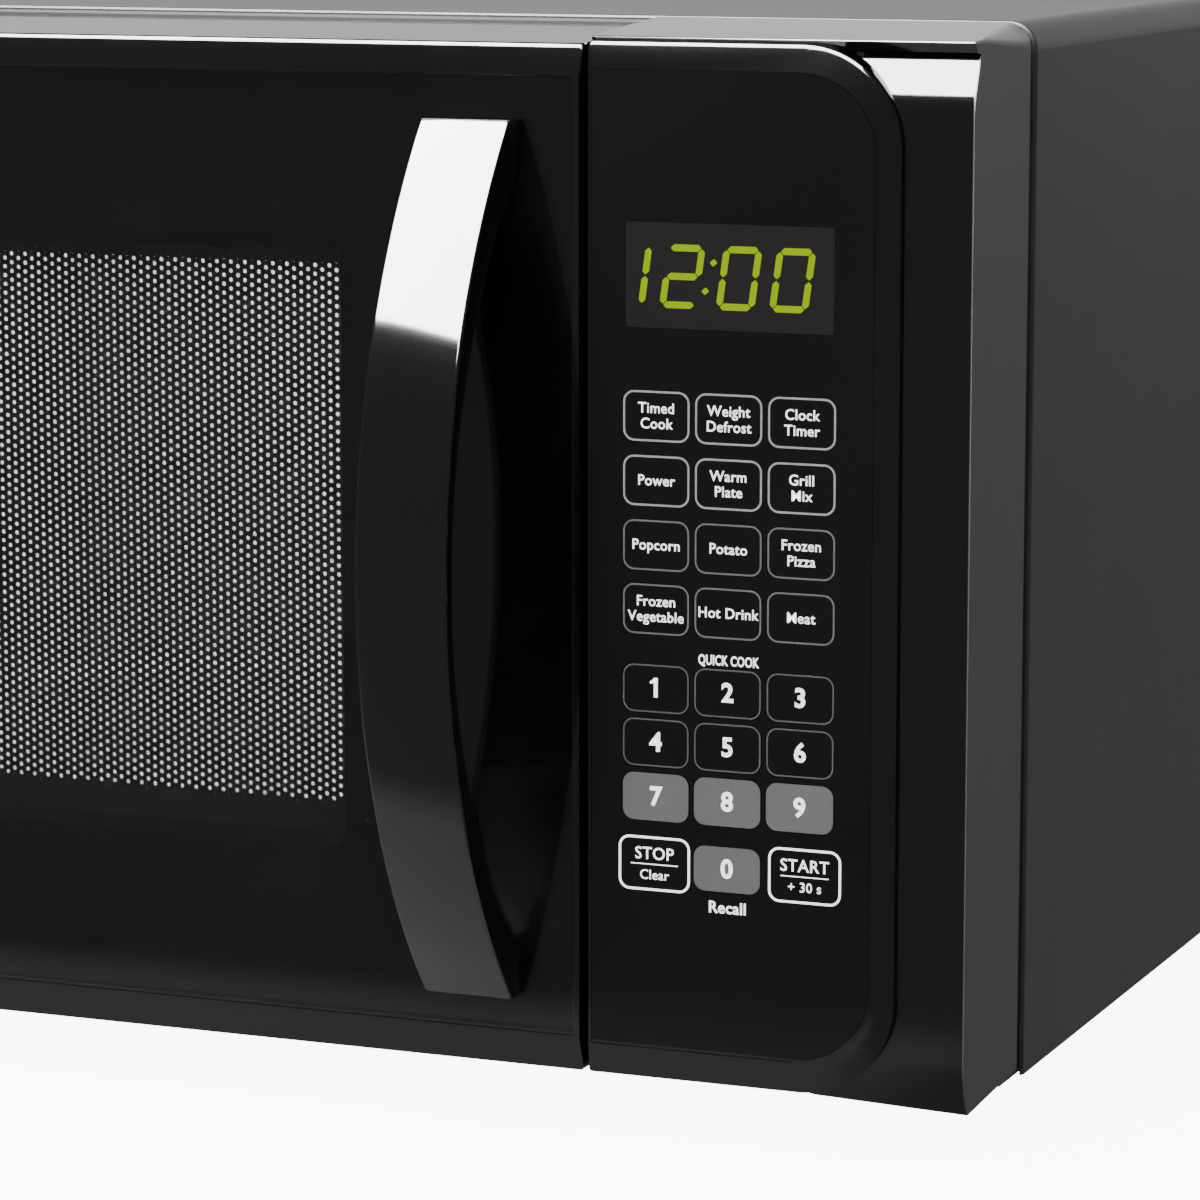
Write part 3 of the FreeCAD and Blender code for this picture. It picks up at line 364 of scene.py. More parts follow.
def galvanisedMaterial(name, look):
    # crystals of zinc: each cell has its own grey and its own shine
    material, tree, shader, coords = newMaterial(name)
    cells = tree.nodes.new("ShaderNodeTexVoronoi")
    cells.inputs["Scale"].default_value = look["cellScale"]
    ramp = tree.nodes.new("ShaderNodeValToRGB")
    ramp.color_ramp.elements[0].color = look["dark"] + (1,)
    ramp.color_ramp.elements[1].color = look["light"] + (1,)
    split = tree.nodes.new("ShaderNodeSeparateColor")
    spread = tree.nodes.new("ShaderNodeMath")
    spread.operation = "MULTIPLY_ADD"
    spread.inputs[1].default_value = 0.22
    spread.inputs[2].default_value = look["roughness"]
    tree.links.new(coords, cells.inputs["Vector"])
    tree.links.new(cells.outputs["Color"], split.inputs["Color"])
    tree.links.new(split.outputs["Red"], ramp.inputs["Fac"])
    tree.links.new(ramp.outputs["Color"], shader.inputs["Base Color"])
    tree.links.new(split.outputs["Green"], spread.inputs[0])
    tree.links.new(spread.outputs[0], shader.inputs["Roughness"])
    addBump(tree, shader, split.outputs["Blue"], 0.05, 0.00002)
    setSockets(shader, look)
    return material


def glassMaterial(name, look):
    material, tree, shader, coords = newMaterial(name)
    addTint(tree, shader, coords, look)
    grain = addGrain(tree, coords, look["grainScale"], look["roughness"], look.get("spread", 0.01))
    tree.links.new(grain.outputs["Roughness"], shader.inputs["Roughness"])
    setSockets(shader, look)
    return material


def boardMaterial(name, look):
    # solder mask with copper tracks showing through as paler lines
    material, tree, shader, coords = newMaterial(name)
    turned = tree.nodes.new("ShaderNodeMapping")
    turned.inputs["Rotation"].default_value = (math.radians(90), 0, 0)
    tracks = tree.nodes.new("ShaderNodeTexBrick")
    tracks.inputs["Scale"].default_value = look["trackScale"]
    tracks.inputs["Color1"].default_value = look["colour"] + (1,)
    tracks.inputs["Color2"].default_value = look["other"] + (1,)
    tracks.inputs["Mortar"].default_value = look["track"] + (1,)
    tracks.inputs["Mortar Size"].default_value = 0.03
    tree.links.new(coords, turned.inputs["Vector"])
    tree.links.new(turned.outputs["Vector"], tracks.inputs["Vector"])
    tree.links.new(tracks.outputs["Color"], shader.inputs["Base Color"])
    addBump(tree, shader, tracks.outputs["Fac"], 0.2, 0.00003)
    shader.inputs["Roughness"].default_value = look["roughness"]
    return material


def glowMaterial(name, look):
    material, tree, shader, coords = newMaterial(name)
    flicker = tree.nodes.new("ShaderNodeTexNoise")
    flicker.inputs["Scale"].default_value = 300.0
    ramp = tree.nodes.new("ShaderNodeValToRGB")
    ramp.color_ramp.elements[0].color = look["glow"] + (1,)
    ramp.color_ramp.elements[1].color = look["glowEdge"] + (1,)
    tree.links.new(coords, flicker.inputs["Vector"])
    tree.links.new(flicker.outputs["Fac"], ramp.inputs["Fac"])
    tree.links.new(ramp.outputs["Color"], shader.inputs["Emission Color"])
    shader.inputs["Emission Strength"].default_value = look["strength"]
    shader.inputs["Base Color"].default_value = look["colour"] + (1,)
    shader.inputs["Roughness"].default_value = look["roughness"]
    shader.inputs["Specular IOR Level"].default_value = 0.0
    return material


finishes = {
    "cabinet_paint": (grainMaterial, {
        "colour": (0.013, 0.013, 0.0135), "other": (0.017, 0.017, 0.0175), "speck": (0.05, 0.05, 0.05),
        "specks": 0.10, "blotch": 5.0, "grainScale": 1500.0, "roughness": 0.42, "spread": 0.06,
        "bump": 0.25, "bumpDepth": 0.00006, "sockets": {"Specular IOR Level": 0.16}}),
    "galvanised_steel": (galvanisedMaterial, {
        "cellScale": 230.0, "dark": (0.42, 0.43, 0.44), "light": (0.60, 0.61, 0.62), "roughness": 0.30,
        "sockets": {"Metallic": 1.0}}),
    "oven_enamel": (grainMaterial, {
        "colour": (0.66, 0.65, 0.62), "other": (0.72, 0.71, 0.68), "speck": (0.40, 0.39, 0.37),
        "specks": 0.5, "blotch": 7.0, "grainScale": 700.0, "roughness": 0.38, "bump": 0.12}),
    "front_enamel": (grainMaterial, {
        "colour": (0.012, 0.012, 0.013), "other": (0.018, 0.018, 0.019), "grainScale": 1200.0,
        "roughness": 0.35, "bump": 0.15}),
    "foot_rubber": (grainMaterial, {
        "colour": (0.012, 0.012, 0.012), "other": (0.022, 0.022, 0.021), "grainScale": 1800.0,
        "roughness": 0.75, "bump": 0.4, "bumpDepth": 0.0001}),
    "gland_rubber": (grainMaterial, {
        "colour": (0.015, 0.015, 0.015), "other": (0.024, 0.024, 0.024), "grainScale": 1600.0,
        "roughness": 0.65, "bump": 0.3}),
    "mica": (grainMaterial, {
        "colour": (0.52, 0.43, 0.28), "other": (0.66, 0.58, 0.42), "speck": (0.80, 0.76, 0.62),
        "specks": 0.8, "blotch": 60.0, "grainScale": 500.0, "roughness": 0.35, "bump": 0.3}),
    "machine_steel": (brushedMaterial, {
        "colour": (0.40, 0.40, 0.41), "other": (0.52, 0.52, 0.52), "stretch": (1.0, 1.0, 12.0),
        "roughness": 0.30, "sockets": {"Metallic": 1.0}}),
    "capacitor_can": (brushedMaterial, {
        "colour": (0.70, 0.70, 0.71), "other": (0.78, 0.78, 0.79), "stretch": (8.0, 8.0, 1.0),
        "roughness": 0.22, "sockets": {"Metallic": 1.0}}),
    "inner_plastic": (grainMaterial, {
        "colour": (0.70, 0.69, 0.64), "other": (0.76, 0.75, 0.70), "grainScale": 900.0,
        "roughness": 0.45, "bump": 0.15}),
    "black_gloss": (mouldedMaterial, {
        "colour": (0.0035, 0.0035, 0.0037), "other": (0.0045, 0.0045, 0.0047), "grainScale": 900.0,
        "roughness": 0.08, "spread": 0.05, "bump": 0.02, "satin": (0.009, 0.009, 0.0094),
        "satinOther": (0.012, 0.012, 0.0124), "satinRoughness": 0.46, "flankFrom": 0.2553, "flankTo": 0.2559,
        "sockets": {"Specular IOR Level": 0.34}}),
    "black_overlay": (grainMaterial, {
        "colour": (0.0042, 0.0042, 0.0043), "other": (0.0052, 0.0052, 0.0053), "blotch": 6.0,
        "grainScale": 900.0, "roughness": 0.20, "spread": 0.05, "bump": 0.03,
        "sockets": {"Specular IOR Level": 0.14}}),
    "display_lens": (grainMaterial, {
        "colour": (0.020, 0.020, 0.020), "other": (0.023, 0.022, 0.021), "blotch": 12.0, "grainScale": 1400.0,
        "roughness": 0.24, "spread": 0.04, "bump": 0.05, "sockets": {"Specular IOR Level": 0.03}}),
    "circuit_board": (boardMaterial, {
        "colour": (0.010, 0.075, 0.032), "other": (0.012, 0.085, 0.036), "track": (0.05, 0.20, 0.08),
        "trackScale": 60.0, "roughness": 0.35}),
    "door_glass": (glassMaterial, {
        "colour": (0.40, 0.40, 0.40), "other": (0.39, 0.39, 0.39), "grainScale": 200.0, "roughness": 0.02,
        "sockets": {"Transmission Weight": 1.0, "IOR": 1.30}}),
    "screen_enamel": (grainMaterial, {
        "colour": (0.006, 0.006, 0.006), "other": (0.008, 0.008, 0.008), "grainScale": 900.0,
        "roughness": 0.5, "bump": 0.1, "sockets": {"Specular IOR Level": 0.2}}),
    "inner_cover_plastic": (grainMaterial, {
        "colour": (0.010, 0.010, 0.011), "other": (0.014, 0.014, 0.015), "grainScale": 1300.0,
        "roughness": 0.40, "bump": 0.3}),
    "handle_gloss": (grainMaterial, {
        "colour": (0.0035, 0.0035, 0.0037), "other": (0.0045, 0.0045, 0.0047), "blotch": 8.0,
        "grainScale": 300.0, "roughness": 0.06, "spread": 0.03, "bump": 0.02,
        "sockets": {"Specular IOR Level": 0.45}}),
    "tray_glass": (glassMaterial, {
        "colour": (0.92, 0.96, 0.95), "other": (0.90, 0.95, 0.94), "grainScale": 90.0, "roughness": 0.03,
        "spread": 0.02, "sockets": {"Transmission Weight": 1.0, "IOR": 1.5}}),
}
materials = {slotName: maker(slotName, look) for slotName, (maker, look) in finishes.items()}


def inkLook(grey, otherGrey, grainScale=3000.0):
    # flat ink with hardly any shine
    return {"colour": (grey,) * 3, "other": (otherGrey,) * 3, "grainScale": grainScale,
            "roughness": 0.6, "bump": 0.1, "sockets": {"Specular IOR Level": 0.05}}


prints = {
    "glowingBrightPrint": inkLook(0.86, 0.80), "softPrint": inkLook(0.40, 0.36), "dimPrint": inkLook(0.150, 0.135),
    "faintPrint": inkLook(0.095, 0.085), "greyFill": inkLook(0.135, 0.125, 2500.0),
}
printMaterials = {name: grainMaterial(name, look) for name, look in prints.items()}
# painted light: the bright ink gets a white emission, so the legends, captions and the stop and start outlines glow
# as if lit
printGlowShader = printMaterials["glowingBrightPrint"].node_tree.nodes["Principled BSDF"]
printGlowShader.inputs["Emission Color"].default_value = (1, 1, 1, 1)
printGlowShader.inputs["Emission Strength"].default_value = 1.5
ledGlow = glowMaterial("ledGlow", {"colour": (0.02, 0.04, 0.0), "glow": (0.40, 0.62, 0.0),
                                   "glowEdge": (0.46, 0.68, 0.0), "strength": 0.8, "roughness": 0.6})
print("materials made", len(bpy.data.materials))

for part in frame["record"]["subparts"]:
    node = nodes[part["node"]]
    node.data.materials.clear()
    node.data.materials.append(materials[part["material_slot"]])


# copies of moulded parts with their outer edges rounded off

def roundedCopy(nodeName, pieceName, body, slotName, passes):
    source = nodes[nodeName]
    deselectAll()
    piece = source.copy()
    piece.data = source.data.copy()
    piece.parent = None
    for key in list(piece.keys()):
        del piece[key]
    bpy.context.scene.collection.objects.link(piece)
    makeActive(piece)
    bpy.ops.object.mode_set(mode="EDIT")
    bpy.ops.mesh.select_all(action="SELECT")
    bpy.ops.mesh.customdata_custom_splitnormals_clear()
    bpy.ops.mesh.remove_doubles(threshold=2e-6)
    bpy.ops.mesh.dissolve_limited(angle_limit=math.radians(0.4))
    for test, width, segments in passes:
        count = pickEdges(piece, test)
        bpy.ops.mesh.bevel(offset=width, offset_type="OFFSET", segments=segments, profile=0.5,
                           affect="EDGES", clamp_overlap=True)
        print(pieceName, count, "edges rounded by", round(width / mm, 2))
    bpy.ops.object.mode_set(mode="OBJECT")
    smoothByAngle(piece, 50)
    weigh = piece.modifiers.new("weighNormals", "WEIGHTED_NORMAL")
    weigh.weight = 100
    weigh.keep_sharp = True
    applyModifiers(piece)
    finishPiece(piece, pieceName, body, materials[slotName], (nodeName,))


def sharpOutside(limit, test):
    # edges with a clear fold that are convex and pass a test on their middle
    def decide(edge):
        if len(edge.link_faces) != 2 or not edge.is_convex:
            return False
        if edge.calc_face_angle(0.0) < math.radians(limit):
            return False
        return test((edge.verts[0].co + edge.verts[1].co) / 2)
    return decide


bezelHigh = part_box("control_bezel")[1]
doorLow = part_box("door_frame")[0]
glassLow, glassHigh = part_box("door_glass")
overlayLow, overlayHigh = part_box("overlay_panel")
frontPlane = glassLow.y

# camera at the viewing angle, then light and floor

shot = {"place": (0.6466, -1.408, 0.363), "turn": 22.14, "tilt": 9.15, "lens": 144.6}


def makeCamera():
    data = bpy.data.cameras.new("camera")
    data.lens = shot["lens"]
    data.sensor_width = 36.0
    data.clip_start = 0.05
    data.clip_end = 60.0
    camera = bpy.data.objects.new("camera", data)
    bpy.context.scene.collection.objects.link(camera)
    camera.location = shot["place"]
    camera.rotation_euler = (math.radians(90 - shot["tilt"]), 0, math.radians(shot["turn"]))
    bpy.context.scene.camera = camera


studio = {
    "floorSize": 40.0, "floorColour": (0.80, 0.80, 0.80), "floorLift": 9.0,
    "mirrorNear": {"centre": (-0.02, -0.25, 0), "half": (0.22, 0.04, 1), "from": 0.0, "to": 0.05, "strength": 1.0},
    "farMirror": 0.36,
    "skyWhite": 6.0, "skyDim": 0.34, "skyBack": 0.80, "bandLow": 0.27, "bandHigh": 0.42,
    "backFrom": 0.15, "backTo": 0.85,
    "aim": (0.12, -0.20, 0.25),
    "softbox": {"azimuth": -22.0, "elevation": 58.0, "distance": 1.9, "size": (2.3, 1.90), "power": 2300.0},
    "front": {"place": (-0.9, -2.3, 1.5), "size": (1.2, 1.2), "power": 46.0},
    "top": {"place": (-0.1, 0.3, 2.6), "size": (2.4, 2.4), "power": 60.0},
    "oven": {"size": (0.28, 0.28), "power": 3.8},
}


def pointAt(obj, target):
    obj.rotation_euler = (Vector(target) - obj.location).to_track_quat("-Z", "Y").to_euler()


def makeAreaLight(name, place, target, size, power):
    data = bpy.data.lights.new(name, "AREA")
    data.shape = "RECTANGLE"
    data.size = size[0]
    data.size_y = size[1]
    data.energy = power
    lamp = bpy.data.objects.new(name, data)
    bpy.context.scene.collection.objects.link(lamp)
    lamp.location = place
    pointAt(lamp, target)
    lamp.visible_camera = False
    return lamp


def makeFloorMaterial():
    # paper sweep: near white to the eye; in mirror images bright beside the object and dim far off
    material, tree, shader, coords = newMaterial("floorPaper")
    link = tree.links.new
    grain = tree.nodes.new("ShaderNodeTexNoise")
    grain.inputs["Scale"].default_value = 300.0
    ramp = tree.nodes.new("ShaderNodeValToRGB")
    ramp.color_ramp.elements[0].color = studio["floorColour"] + (1,)
    ramp.color_ramp.elements[1].color = tuple(value + 0.02 for value in studio["floorColour"]) + (1,)
    link(coords, grain.inputs["Vector"])
    link(grain.outputs["Fac"], ramp.inputs["Fac"])
    link(ramp.outputs["Color"], shader.inputs["Base Color"])
    shader.inputs["Roughness"].default_value = 0.9
    shader.inputs["Specular IOR Level"].default_value = 0.0
    shader.inputs["Emission Color"].default_value = (1, 1, 1, 1)
    paths = tree.nodes.new("ShaderNodeLightPath")
    lift = tree.nodes.new("ShaderNodeMath")
    lift.operation = "MULTIPLY"
    lift.inputs[1].default_value = studio["floorLift"]
    link(paths.outputs["Is Camera Ray"], lift.inputs[0])
    link(lift.outputs[0], shader.inputs["Emission Strength"])
    steps = []
    for operation, value in (("SUBTRACT", studio["mirrorNear"]["centre"]), ("ABSOLUTE", None),
                             ("SUBTRACT", studio["mirrorNear"]["half"]), ("MAXIMUM", (0, 0, 0)), ("LENGTH", None)):
        step = tree.nodes.new("ShaderNodeVectorMath")
        step.operation = operation
        if value is not None:
            step.inputs[1].default_value = value
        if steps:
            link(steps[-1].outputs["Vector"], step.inputs[0])
        steps.append(step)
    far = tree.nodes.new("ShaderNodeMapRange")
    far.interpolation_type = "SMOOTHSTEP"
    far.inputs["From Min"].default_value = studio["mirrorNear"]["from"]
    far.inputs["From Max"].default_value = studio["mirrorNear"]["to"]
    far.inputs["To Min"].default_value = studio["mirrorNear"]["strength"]
    far.inputs["To Max"].default_value = studio["farMirror"]
    image = tree.nodes.new("ShaderNodeEmission")
    mixed = tree.nodes.new("ShaderNodeMixShader")
    link(coords, steps[0].inputs[0])
    link(steps[-1].outputs["Value"], far.inputs["Value"])
    link(far.outputs["Result"], image.inputs["Strength"])
    link(paths.outputs["Is Glossy Ray"], mixed.inputs["Fac"])
    link(shader.outputs["BSDF"], mixed.inputs[1])
    link(image.outputs["Emission"], mixed.inputs[2])
    link(mixed.outputs["Shader"], tree.nodes["Material Output"].inputs["Surface"])
    return material


def makeWorld():
    # white to the eye; for light and mirror images dim in front, bright low down behind
    world = bpy.data.worlds.new("studioWorld")
    world.use_nodes = True
    tree = world.node_tree
    link = tree.links.new
    dim = tree.nodes["Background"]
    white = tree.nodes.new("ShaderNodeBackground")
    white.inputs["Strength"].default_value = studio["skyWhite"]
    white.inputs["Color"].default_value = (1, 1, 1, 1)
    paths = tree.nodes.new("ShaderNodeLightPath")
    mixed = tree.nodes.new("ShaderNodeMixShader")
    coords = tree.nodes.new("ShaderNodeTexCoord")
    split = tree.nodes.new("ShaderNodeSeparateXYZ")
    back = tree.nodes.new("ShaderNodeMapRange")
    back.interpolation_type = "SMOOTHSTEP"
    back.inputs["From Min"].default_value = studio["backFrom"]
    back.inputs["From Max"].default_value = studio["backTo"]
    low = tree.nodes.new("ShaderNodeMapRange")
    low.interpolation_type = "SMOOTHSTEP"
    low.inputs["From Min"].default_value = studio["bandHigh"]
    low.inputs["From Max"].default_value = studio["bandLow"]
    both = tree.nodes.new("ShaderNodeMath")
    both.operation = "MULTIPLY"
    strength = tree.nodes.new("ShaderNodeMath")
    strength.operation = "MULTIPLY_ADD"
    strength.inputs[1].default_value = studio["skyBack"]
    strength.inputs[2].default_value = studio["skyDim"]
    dim.inputs["Color"].default_value = (1, 1, 1, 1)
    link(coords.outputs["Generated"], split.inputs[0])
    link(split.outputs["Y"], back.inputs["Value"])
    link(split.outputs["Z"], low.inputs["Value"])
    link(back.outputs["Result"], both.inputs[0])
    link(low.outputs["Result"], both.inputs[1])
    link(both.outputs[0], strength.inputs[0])
    link(strength.outputs[0], dim.inputs["Strength"])
    link(paths.outputs["Is Camera Ray"], mixed.inputs["Fac"])
    link(dim.outputs["Background"], mixed.inputs[1])
    link(white.outputs["Background"], mixed.inputs[2])
    link(mixed.outputs["Shader"], tree.nodes["World Output"].inputs["Surface"])
    bpy.context.scene.world = world


def makeStudio():
    deselectAll()
    bpy.ops.mesh.primitive_plane_add(size=studio["floorSize"], location=(0, 0, -0.0002))
    floor = bpy.context.active_object
    floor.name = "floor"
    floor.data.materials.append(makeFloorMaterial())
    makeWorld()
    box = studio["softbox"]
    azimuth, elevation = math.radians(box["azimuth"]), math.radians(box["elevation"])
    direction = Vector((math.sin(azimuth) * math.cos(elevation), -math.cos(azimuth) * math.cos(elevation),
                        math.sin(elevation)))
    softbox = makeAreaLight("softbox", Vector(studio["aim"]) + direction * box["distance"], studio["aim"],
                            box["size"], box["power"])
    softbox.visible_diffuse = False
    for name in ("front", "top"):
        light = makeAreaLight(name + "Light", studio[name]["place"], (0, 0, 0.1), studio[name]["size"],
                              studio[name]["power"])
        light.visible_glossy = False
    ovenLow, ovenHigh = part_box("cavity_liner")
    middle = (ovenLow + ovenHigh) / 2
    makeAreaLight("ovenLight", (middle.x, middle.y, ovenHigh.z - 0.012), (middle.x, middle.y, 0),
                  studio["oven"]["size"], studio["oven"]["power"])


makeCamera()
makeStudio()
print("camera and studio ready")

# door and control mouldings with soft edges

rimY = frontPlane + 2.0 * mm         # depth of the raised insert's outer rim


edging = {"rimAngle": 25, "rimRadius": 1.3 * mm, "rimSteps": 4,
          "edgeAngle": 20, "edgeRadius": 0.4 * mm, "edgeSteps": 3, "frontDepth": 12 * mm}


def softenMoulding(nodeName, pieceName, body, rim, front):
    # a wide rounding on the rim of the raised insert and a fine one on the other front edges
    edges = lambda p: front(p) and not rim(p)
    roundedCopy(nodeName, pieceName, body, "black_gloss",
                ((sharpOutside(edging["rimAngle"], rim), edging["rimRadius"], edging["rimSteps"]),
                 (sharpOutside(edging["edgeAngle"], edges), edging["edgeRadius"], edging["edgeSteps"])))


def makeBezel():
    outside = lambda p: (p.x > overlayHigh.x + 0.4 * mm or p.x < overlayLow.x
                         or p.z > overlayHigh.z + 0.3 * mm or p.z < overlayLow.z - 0.3 * mm)
    rim = lambda p: abs(p.y - rimY) < 0.2 * mm and p.z > overlayLow.z + 20 * mm
    top = lambda p: p.z > bezelHigh.z - 4 * mm and p.y < frontPlane + 6 * mm
    front = lambda p: not top(p) and (
        (p.y < frontPlane + edging["frontDepth"] and outside(p)) or p.x > bezelHigh.x - 0.2 * mm)
    softenMoulding("control_bezel", "controlBezel", "chassis", rim, front)


def makeDoorFrame():
    outside = lambda p: (p.x > glassHigh.x + 0.3 * mm or p.x < glassLow.x - 0.2 * mm
                         or p.z > glassHigh.z + 0.2 * mm or p.z < glassLow.z - 0.8 * mm)
    rim = lambda p: abs(p.y - rimY) < 0.2 * mm and p.z > glassLow.z + 20 * mm
    front = lambda p: (p.y < frontPlane + edging["frontDepth"] and outside(p)) or p.x < doorLow.x + 0.2 * mm
    softenMoulding("door_frame", "doorFrame", "door", rim, front)


makeBezel()
makeDoorFrame()


# handle: one flat strip bowed outwards, with both ends cut level on the glass

handle = {"steps": 72, "thickness": 5.0 * mm, "foot": 16.0 * mm, "edge": 0.9 * mm, "touch": 0.01 * mm}


def arcSheet(width, z0, z1, depth, baseY, middleX):
    # sheet bent along a circle that starts and ends at baseY and stands depth proud in the middle
    half = (z1 - z0) / 2
    radius = (half * half + depth * depth) / (2 * depth)
    angle = 2 * math.asin(half / radius)
    centre = (middleX, baseY - depth + radius, (z0 + z1) / 2)
    deselectAll()
    bpy.ops.mesh.primitive_plane_add(size=1.0)
    sheet = bpy.context.active_object
    sheet.scale = (width, 1, 1)
    sheet.location = (middleX, baseY + 0.5, z0)
    applyPlace(sheet)
    bpy.ops.object.mode_set(mode="EDIT")
    bpy.ops.mesh.select_mode(type="VERT")
    mesh = bmesh.from_edit_mesh(sheet.data)
    for vertex in mesh.verts:
        vertex.select_set(vertex.co.y > baseY + 0.5)
    bmesh.update_edit_mesh(sheet.data)
    bpy.ops.mesh.delete(type="VERT")
    pickEdges(sheet, lambda e: True)
    bpy.ops.mesh.spin(steps=handle["steps"], angle=angle, center=centre, axis=(1, 0, 0))
    bpy.ops.object.mode_set(mode="OBJECT")
    if not any(v.co.z > z1 - 0.1 * mm for v in sheet.data.vertices):
        raise RuntimeError("handle arc turned the wrong way")
    return sheet


def makeHandle():
    low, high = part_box("door_handle")
    thickness = handle["thickness"]
    glassY = frontPlane
    touch = handle["touch"]
    depth = glassY - low.y
    width = high.x - low.x
    middleX = (low.x + high.x) / 2
    outer = arcSheet(width, low.z, high.z, depth - thickness, glassY - thickness, middleX)
    inner = arcSheet(width, low.z + handle["foot"], high.z - handle["foot"], depth - thickness, glassY, middleX)
    strip = joinPieces([outer, inner], "doorHandle")
    bpy.ops.object.mode_set(mode="EDIT")
    for z, shift in ((low.z + handle["foot"], -handle["foot"]), (high.z - handle["foot"], handle["foot"])):
        pickEdges(strip, lambda e: all(abs(v.co.z - z) < touch and abs(v.co.y - glassY) < touch for v in e.verts))
        bpy.ops.mesh.extrude_edges_move(TRANSFORM_OT_translate={"value": (0, 0, shift)})
    for side in (low.x, high.x):
        pickEdges(strip, lambda e: e.is_boundary and all(abs(v.co.x - side) < touch for v in e.verts))
        bpy.ops.mesh.bridge_edge_loops()
    bpy.ops.mesh.select_all(action="SELECT")
    bpy.ops.mesh.remove_doubles(threshold=1e-6)
    for z in (low.z, high.z):
        pickEdges(strip, lambda e: e.is_boundary and all(abs(v.co.z - z) < touch for v in e.verts))
        bpy.ops.mesh.edge_face_add()
    bpy.ops.mesh.select_all(action="SELECT")
    bpy.ops.mesh.normals_make_consistent(inside=False)
    count = pickEdges(strip, sharpOutside(40, lambda p: p.y < glassY - 1.0 * mm))
    bpy.ops.mesh.bevel(offset=handle["edge"], offset_type="OFFSET", segments=4, profile=0.5, affect="EDGES")
    bpy.ops.object.mode_set(mode="OBJECT")
    smoothByAngle(strip, 35)
    finishPiece(strip, "doorHandle", "door", materials["handle_gloss"], ("door_handle",))
    print("handle", count, "edges rounded", countOpenEdges(strip), "open edges")


def countOpenEdges(obj):
    mesh = bmesh.new()
    mesh.from_mesh(obj.data)
    count = sum(1 for edge in mesh.edges if not edge.is_manifold)
    mesh.free()
    return count


makeHandle()


# perforated screen: a triangular lattice whose inner points open into six-sided holes

screen = {
    "left": -0.190, "right": 0.0607, "bottom": 0.0847, "top": 0.2380,
    "pitch": 2.58 * mm, "hole": 0.72 * mm, "thickness": 0.5 * mm, "margin": 2, "border": 1.5 * mm,
}


def makeScreen():
    low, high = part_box("door_screen")
    columnStep = screen["pitch"] * math.sqrt(0.75)
    margin = screen["margin"]
    columns = round((screen["right"] - screen["left"]) / columnStep) + 2 * margin
    rows = round((screen["top"] - screen["bottom"]) / screen["pitch"]) + 2 * margin
    plateY = low.y + 0.25 * mm
    deselectAll()
    bpy.ops.mesh.primitive_grid_add(x_subdivisions=columns, y_subdivisions=rows, size=1.0)
    sheet = bpy.context.active_object
    sheet.scale = (columns * columnStep, rows * screen["pitch"], 1)
    sheet.rotation_euler = (math.radians(90), 0, 0)
    applyPlace(sheet)
    right = screen["right"] + margin * columnStep
    sheet.location = (right - columns * columnStep / 2, plateY,
                      (screen["top"] + screen["bottom"]) / 2)
    applyPlace(sheet)
    bpy.ops.object.mode_set(mode="EDIT")
    mesh = bmesh.from_edit_mesh(sheet.data)
    bpy.ops.mesh.select_mode(type="VERT")
    for vertex in mesh.verts:
        column = round((right - vertex.co.x) / columnStep)
        vertex.select_set(column % 2 == 1)
    bmesh.update_edit_mesh(sheet.data)
    bpy.ops.transform.translate(value=(0, 0, screen["pitch"] / 2))
    bpy.ops.mesh.select_all(action="SELECT")
    bpy.ops.mesh.quads_convert_to_tris(quad_method="SHORTEST_DIAGONAL")
    mesh = bmesh.from_edit_mesh(sheet.data)
    edgeX = (margin - 0.5) * columnStep
    edgeZ = (margin - 0.25) * screen["pitch"]
    lowX, highX = right - columns * columnStep + edgeX, right - edgeX
    topZ = max(v.co.z for v in mesh.verts) - edgeZ
    bottomZ = min(v.co.z for v in mesh.verts) + edgeZ
    for vertex in mesh.verts:
        inside = lowX < vertex.co.x < highX and bottomZ < vertex.co.z < topZ
        vertex.select_set(inside and not vertex.is_boundary)
    bmesh.update_edit_mesh(sheet.data)
    holes = sum(1 for v in mesh.verts if v.select)
    bpy.ops.mesh.bevel(offset=screen["hole"], offset_type="OFFSET", segments=1, affect="VERTICES")
    count = pickFaces(sheet, lambda f: len(f.verts) == 6 and
                      abs(f.calc_area() - 1.5 * math.sqrt(3) * screen["hole"] ** 2) < 0.12 * screen["hole"] ** 2)
    bpy.ops.mesh.delete(type="FACE")
    bpy.ops.object.mode_set(mode="OBJECT")
    thick = sheet.modifiers.new("thickness", "SOLIDIFY")
    thick.thickness = screen["thickness"]
    thick.offset = 0
    applyModifiers(sheet)
    print("screen", holes, "points", count, "holes", len(sheet.data.polygons), "faces")
    rim = makeScreenRim(low, high, plateY)
    piece = joinPieces([sheet, rim], "doorScreen")
    finishPiece(piece, "doorScreen", "door", materials["screen_enamel"], ("door_screen",))


